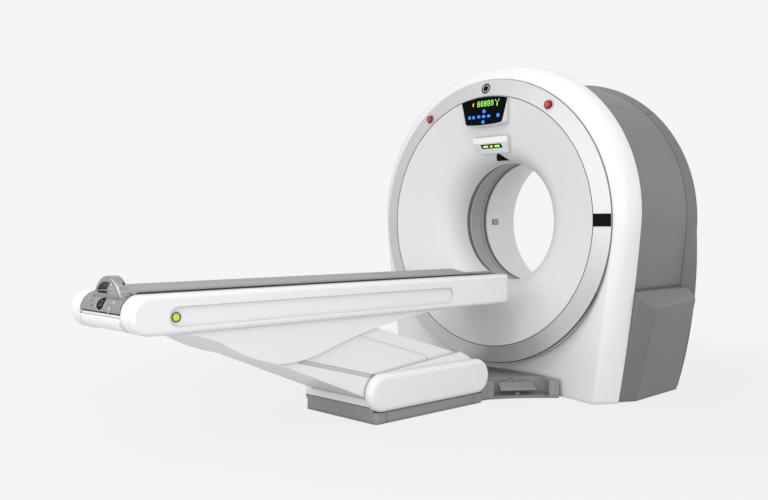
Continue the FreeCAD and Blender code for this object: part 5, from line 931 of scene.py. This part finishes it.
# each soft lamp's name, its direction from the middle of the machine, and its power in watts
LAMPS = (("right_low", (0.75, -0.65, 0.1), 80), ("front_low", (0.1, -1.0, 0.1), 50),
         ("right_high", (0.3, -0.6, 0.75), 85), ("front_left", (-0.35, -0.87, 0.35), 46),
         ("right_behind", (0.9, 0.4, 0.1), 32), ("behind_low", (0.45, 0.88, 0.12), 14),
         ("overhead", (0.1, -0.1, 1.0), 24))
CAMERA_PLACE = (3.2039, -4.2503, 0.9300)
CAMERA_TURN, CAMERA_DIP = 46.20, 0.47
FOCAL, SENSOR = 854.8, 36.0             # focal length in pixels, sensor width in mm
PICTURE_WIDTH, PICTURE_HEIGHT = 768, 500
HORIZON_ROW = 235.9                     # pixels from the top of the picture


def camera():
    made = bpy.data.cameras.new("camera")
    made.sensor_width = SENSOR
    made.lens = FOCAL / PICTURE_WIDTH * SENSOR
    made.shift_y = (HORIZON_ROW - PICTURE_HEIGHT / 2) / PICTURE_WIDTH
    holder = bpy.data.objects.new("camera", made)
    holder.location = CAMERA_PLACE
    holder.rotation_euler = (math.radians(90 - CAMERA_DIP), 0, math.radians(CAMERA_TURN))
    bpy.context.scene.collection.objects.link(holder)
    bpy.context.scene.camera = holder


def seen_rays(tree):
    """1 for the rays by which the backdrop is seen: straight on, in a gloss, or through a glass."""
    ray = tree.nodes.new("ShaderNodeLightPath")
    gloss = math_node(tree, "MAXIMUM", ray.outputs["Is Camera Ray"], ray.outputs["Is Glossy Ray"])
    return math_node(tree, "MAXIMUM", gloss, ray.outputs["Is Transmission Ray"])


def floor():
    """A wide pale floor that keeps the soft shadows and fades into the backdrop's colour."""
    bm = bmesh.new()
    bmesh.ops.create_grid(bm, x_segments=8, y_segments=8, size=30)
    mesh = bpy.data.meshes.new("floor")
    bm.to_mesh(mesh)
    bm.free()
    made = bpy.data.objects.new("floor", mesh)
    made.location = (0, 0, -0.2 * MM)
    bpy.context.scene.collection.objects.link(made)
    paint = bpy.data.materials.new("floor_paint")
    paint.use_nodes = True
    tree = paint.node_tree
    shader = tree.nodes["Principled BSDF"]
    shader.inputs["Base Color"].default_value = FLOOR_COLOUR
    shader.inputs["Roughness"].default_value = 0.9
    shader.inputs["Specular IOR Level"].default_value = 0.1
    glow = tree.nodes.new("ShaderNodeEmission")
    glow.inputs["Color"].default_value = BACKDROP
    place = tree.nodes.new("ShaderNodeTexCoord").outputs["Object"]
    reach = tree.nodes.new("ShaderNodeVectorMath")
    reach.operation = "LENGTH"
    tree.links.new(place, reach.inputs[0])
    fade = tree.nodes.new("ShaderNodeMapRange")
    fade.interpolation_type = "SMOOTHSTEP"
    for label, value in (("From Min", 1.2), ("From Max", 3.6), ("To Min", FLOOR_GLOW),
                         ("To Max", 1.0)):
        fade.inputs[label].default_value = value
    tree.links.new(reach.outputs["Value"], fade.inputs["Value"])
    share = math_node(tree, "MULTIPLY", seen_rays(tree), fade.outputs["Result"])
    mix = tree.nodes.new("ShaderNodeMixShader")
    tree.links.new(share, mix.inputs[0])
    tree.links.new(shader.outputs[0], mix.inputs[1])
    tree.links.new(glow.outputs[0], mix.inputs[2])
    tree.links.new(mix.outputs[0], tree.nodes["Material Output"].inputs["Surface"])
    mesh.materials.append(paint)


def world():
    made = bpy.data.worlds.new("room")
    bpy.context.scene.world = made
    made.use_nodes = True
    tree = made.node_tree
    for node in list(tree.nodes):
        tree.nodes.remove(node)
    seen = tree.nodes.new("ShaderNodeBackground")
    seen.inputs["Color"].default_value = BACKDROP
    seen.inputs["Strength"].default_value = 1.0
    fill = tree.nodes.new("ShaderNodeBackground")
    fill.inputs["Color"].default_value = (0.95, 0.97, 1.0, 1)
    fill.inputs["Strength"].default_value = FILL
    mix = tree.nodes.new("ShaderNodeMixShader")
    result = tree.nodes.new("ShaderNodeOutputWorld")
    tree.links.new(seen_rays(tree), mix.inputs[0])
    tree.links.new(fill.outputs[0], mix.inputs[1])
    tree.links.new(seen.outputs[0], mix.inputs[2])
    tree.links.new(mix.outputs[0], result.inputs["Surface"])


def soft_light(name, place, aim, size, power):
    made = bpy.data.lights.new(name, "AREA")
    made.shape = "RECTANGLE"
    made.size, made.size_y = size
    made.energy = power
    holder = bpy.data.objects.new(name, made)
    holder.location = place
    holder.rotation_euler = (Vector(aim) - Vector(place)).to_track_quat("-Z", "Y").to_euler()
    bpy.context.scene.collection.objects.link(holder)


def lights():
    centre = (0, -0.8, 0.8)
    for name, towards, power in LAMPS:
        reach = Vector(towards).normalized() * LAMP_DISTANCE
        soft_light(name, tuple(Vector(centre) + reach), centre,
                   (LAMP_SIDE, LAMP_SIDE), power)


scene = bpy.context.scene
scene.view_settings.view_transform = "Standard"
dress_nodes()
ring_seals()
bore_bands()
intercom()
laser_cover()
ring_plate()
stop_details()
gantry_lines()
display_marks()
lamp_segments()
handle_details()
table_details()
floor()
world()
lights()
camera()
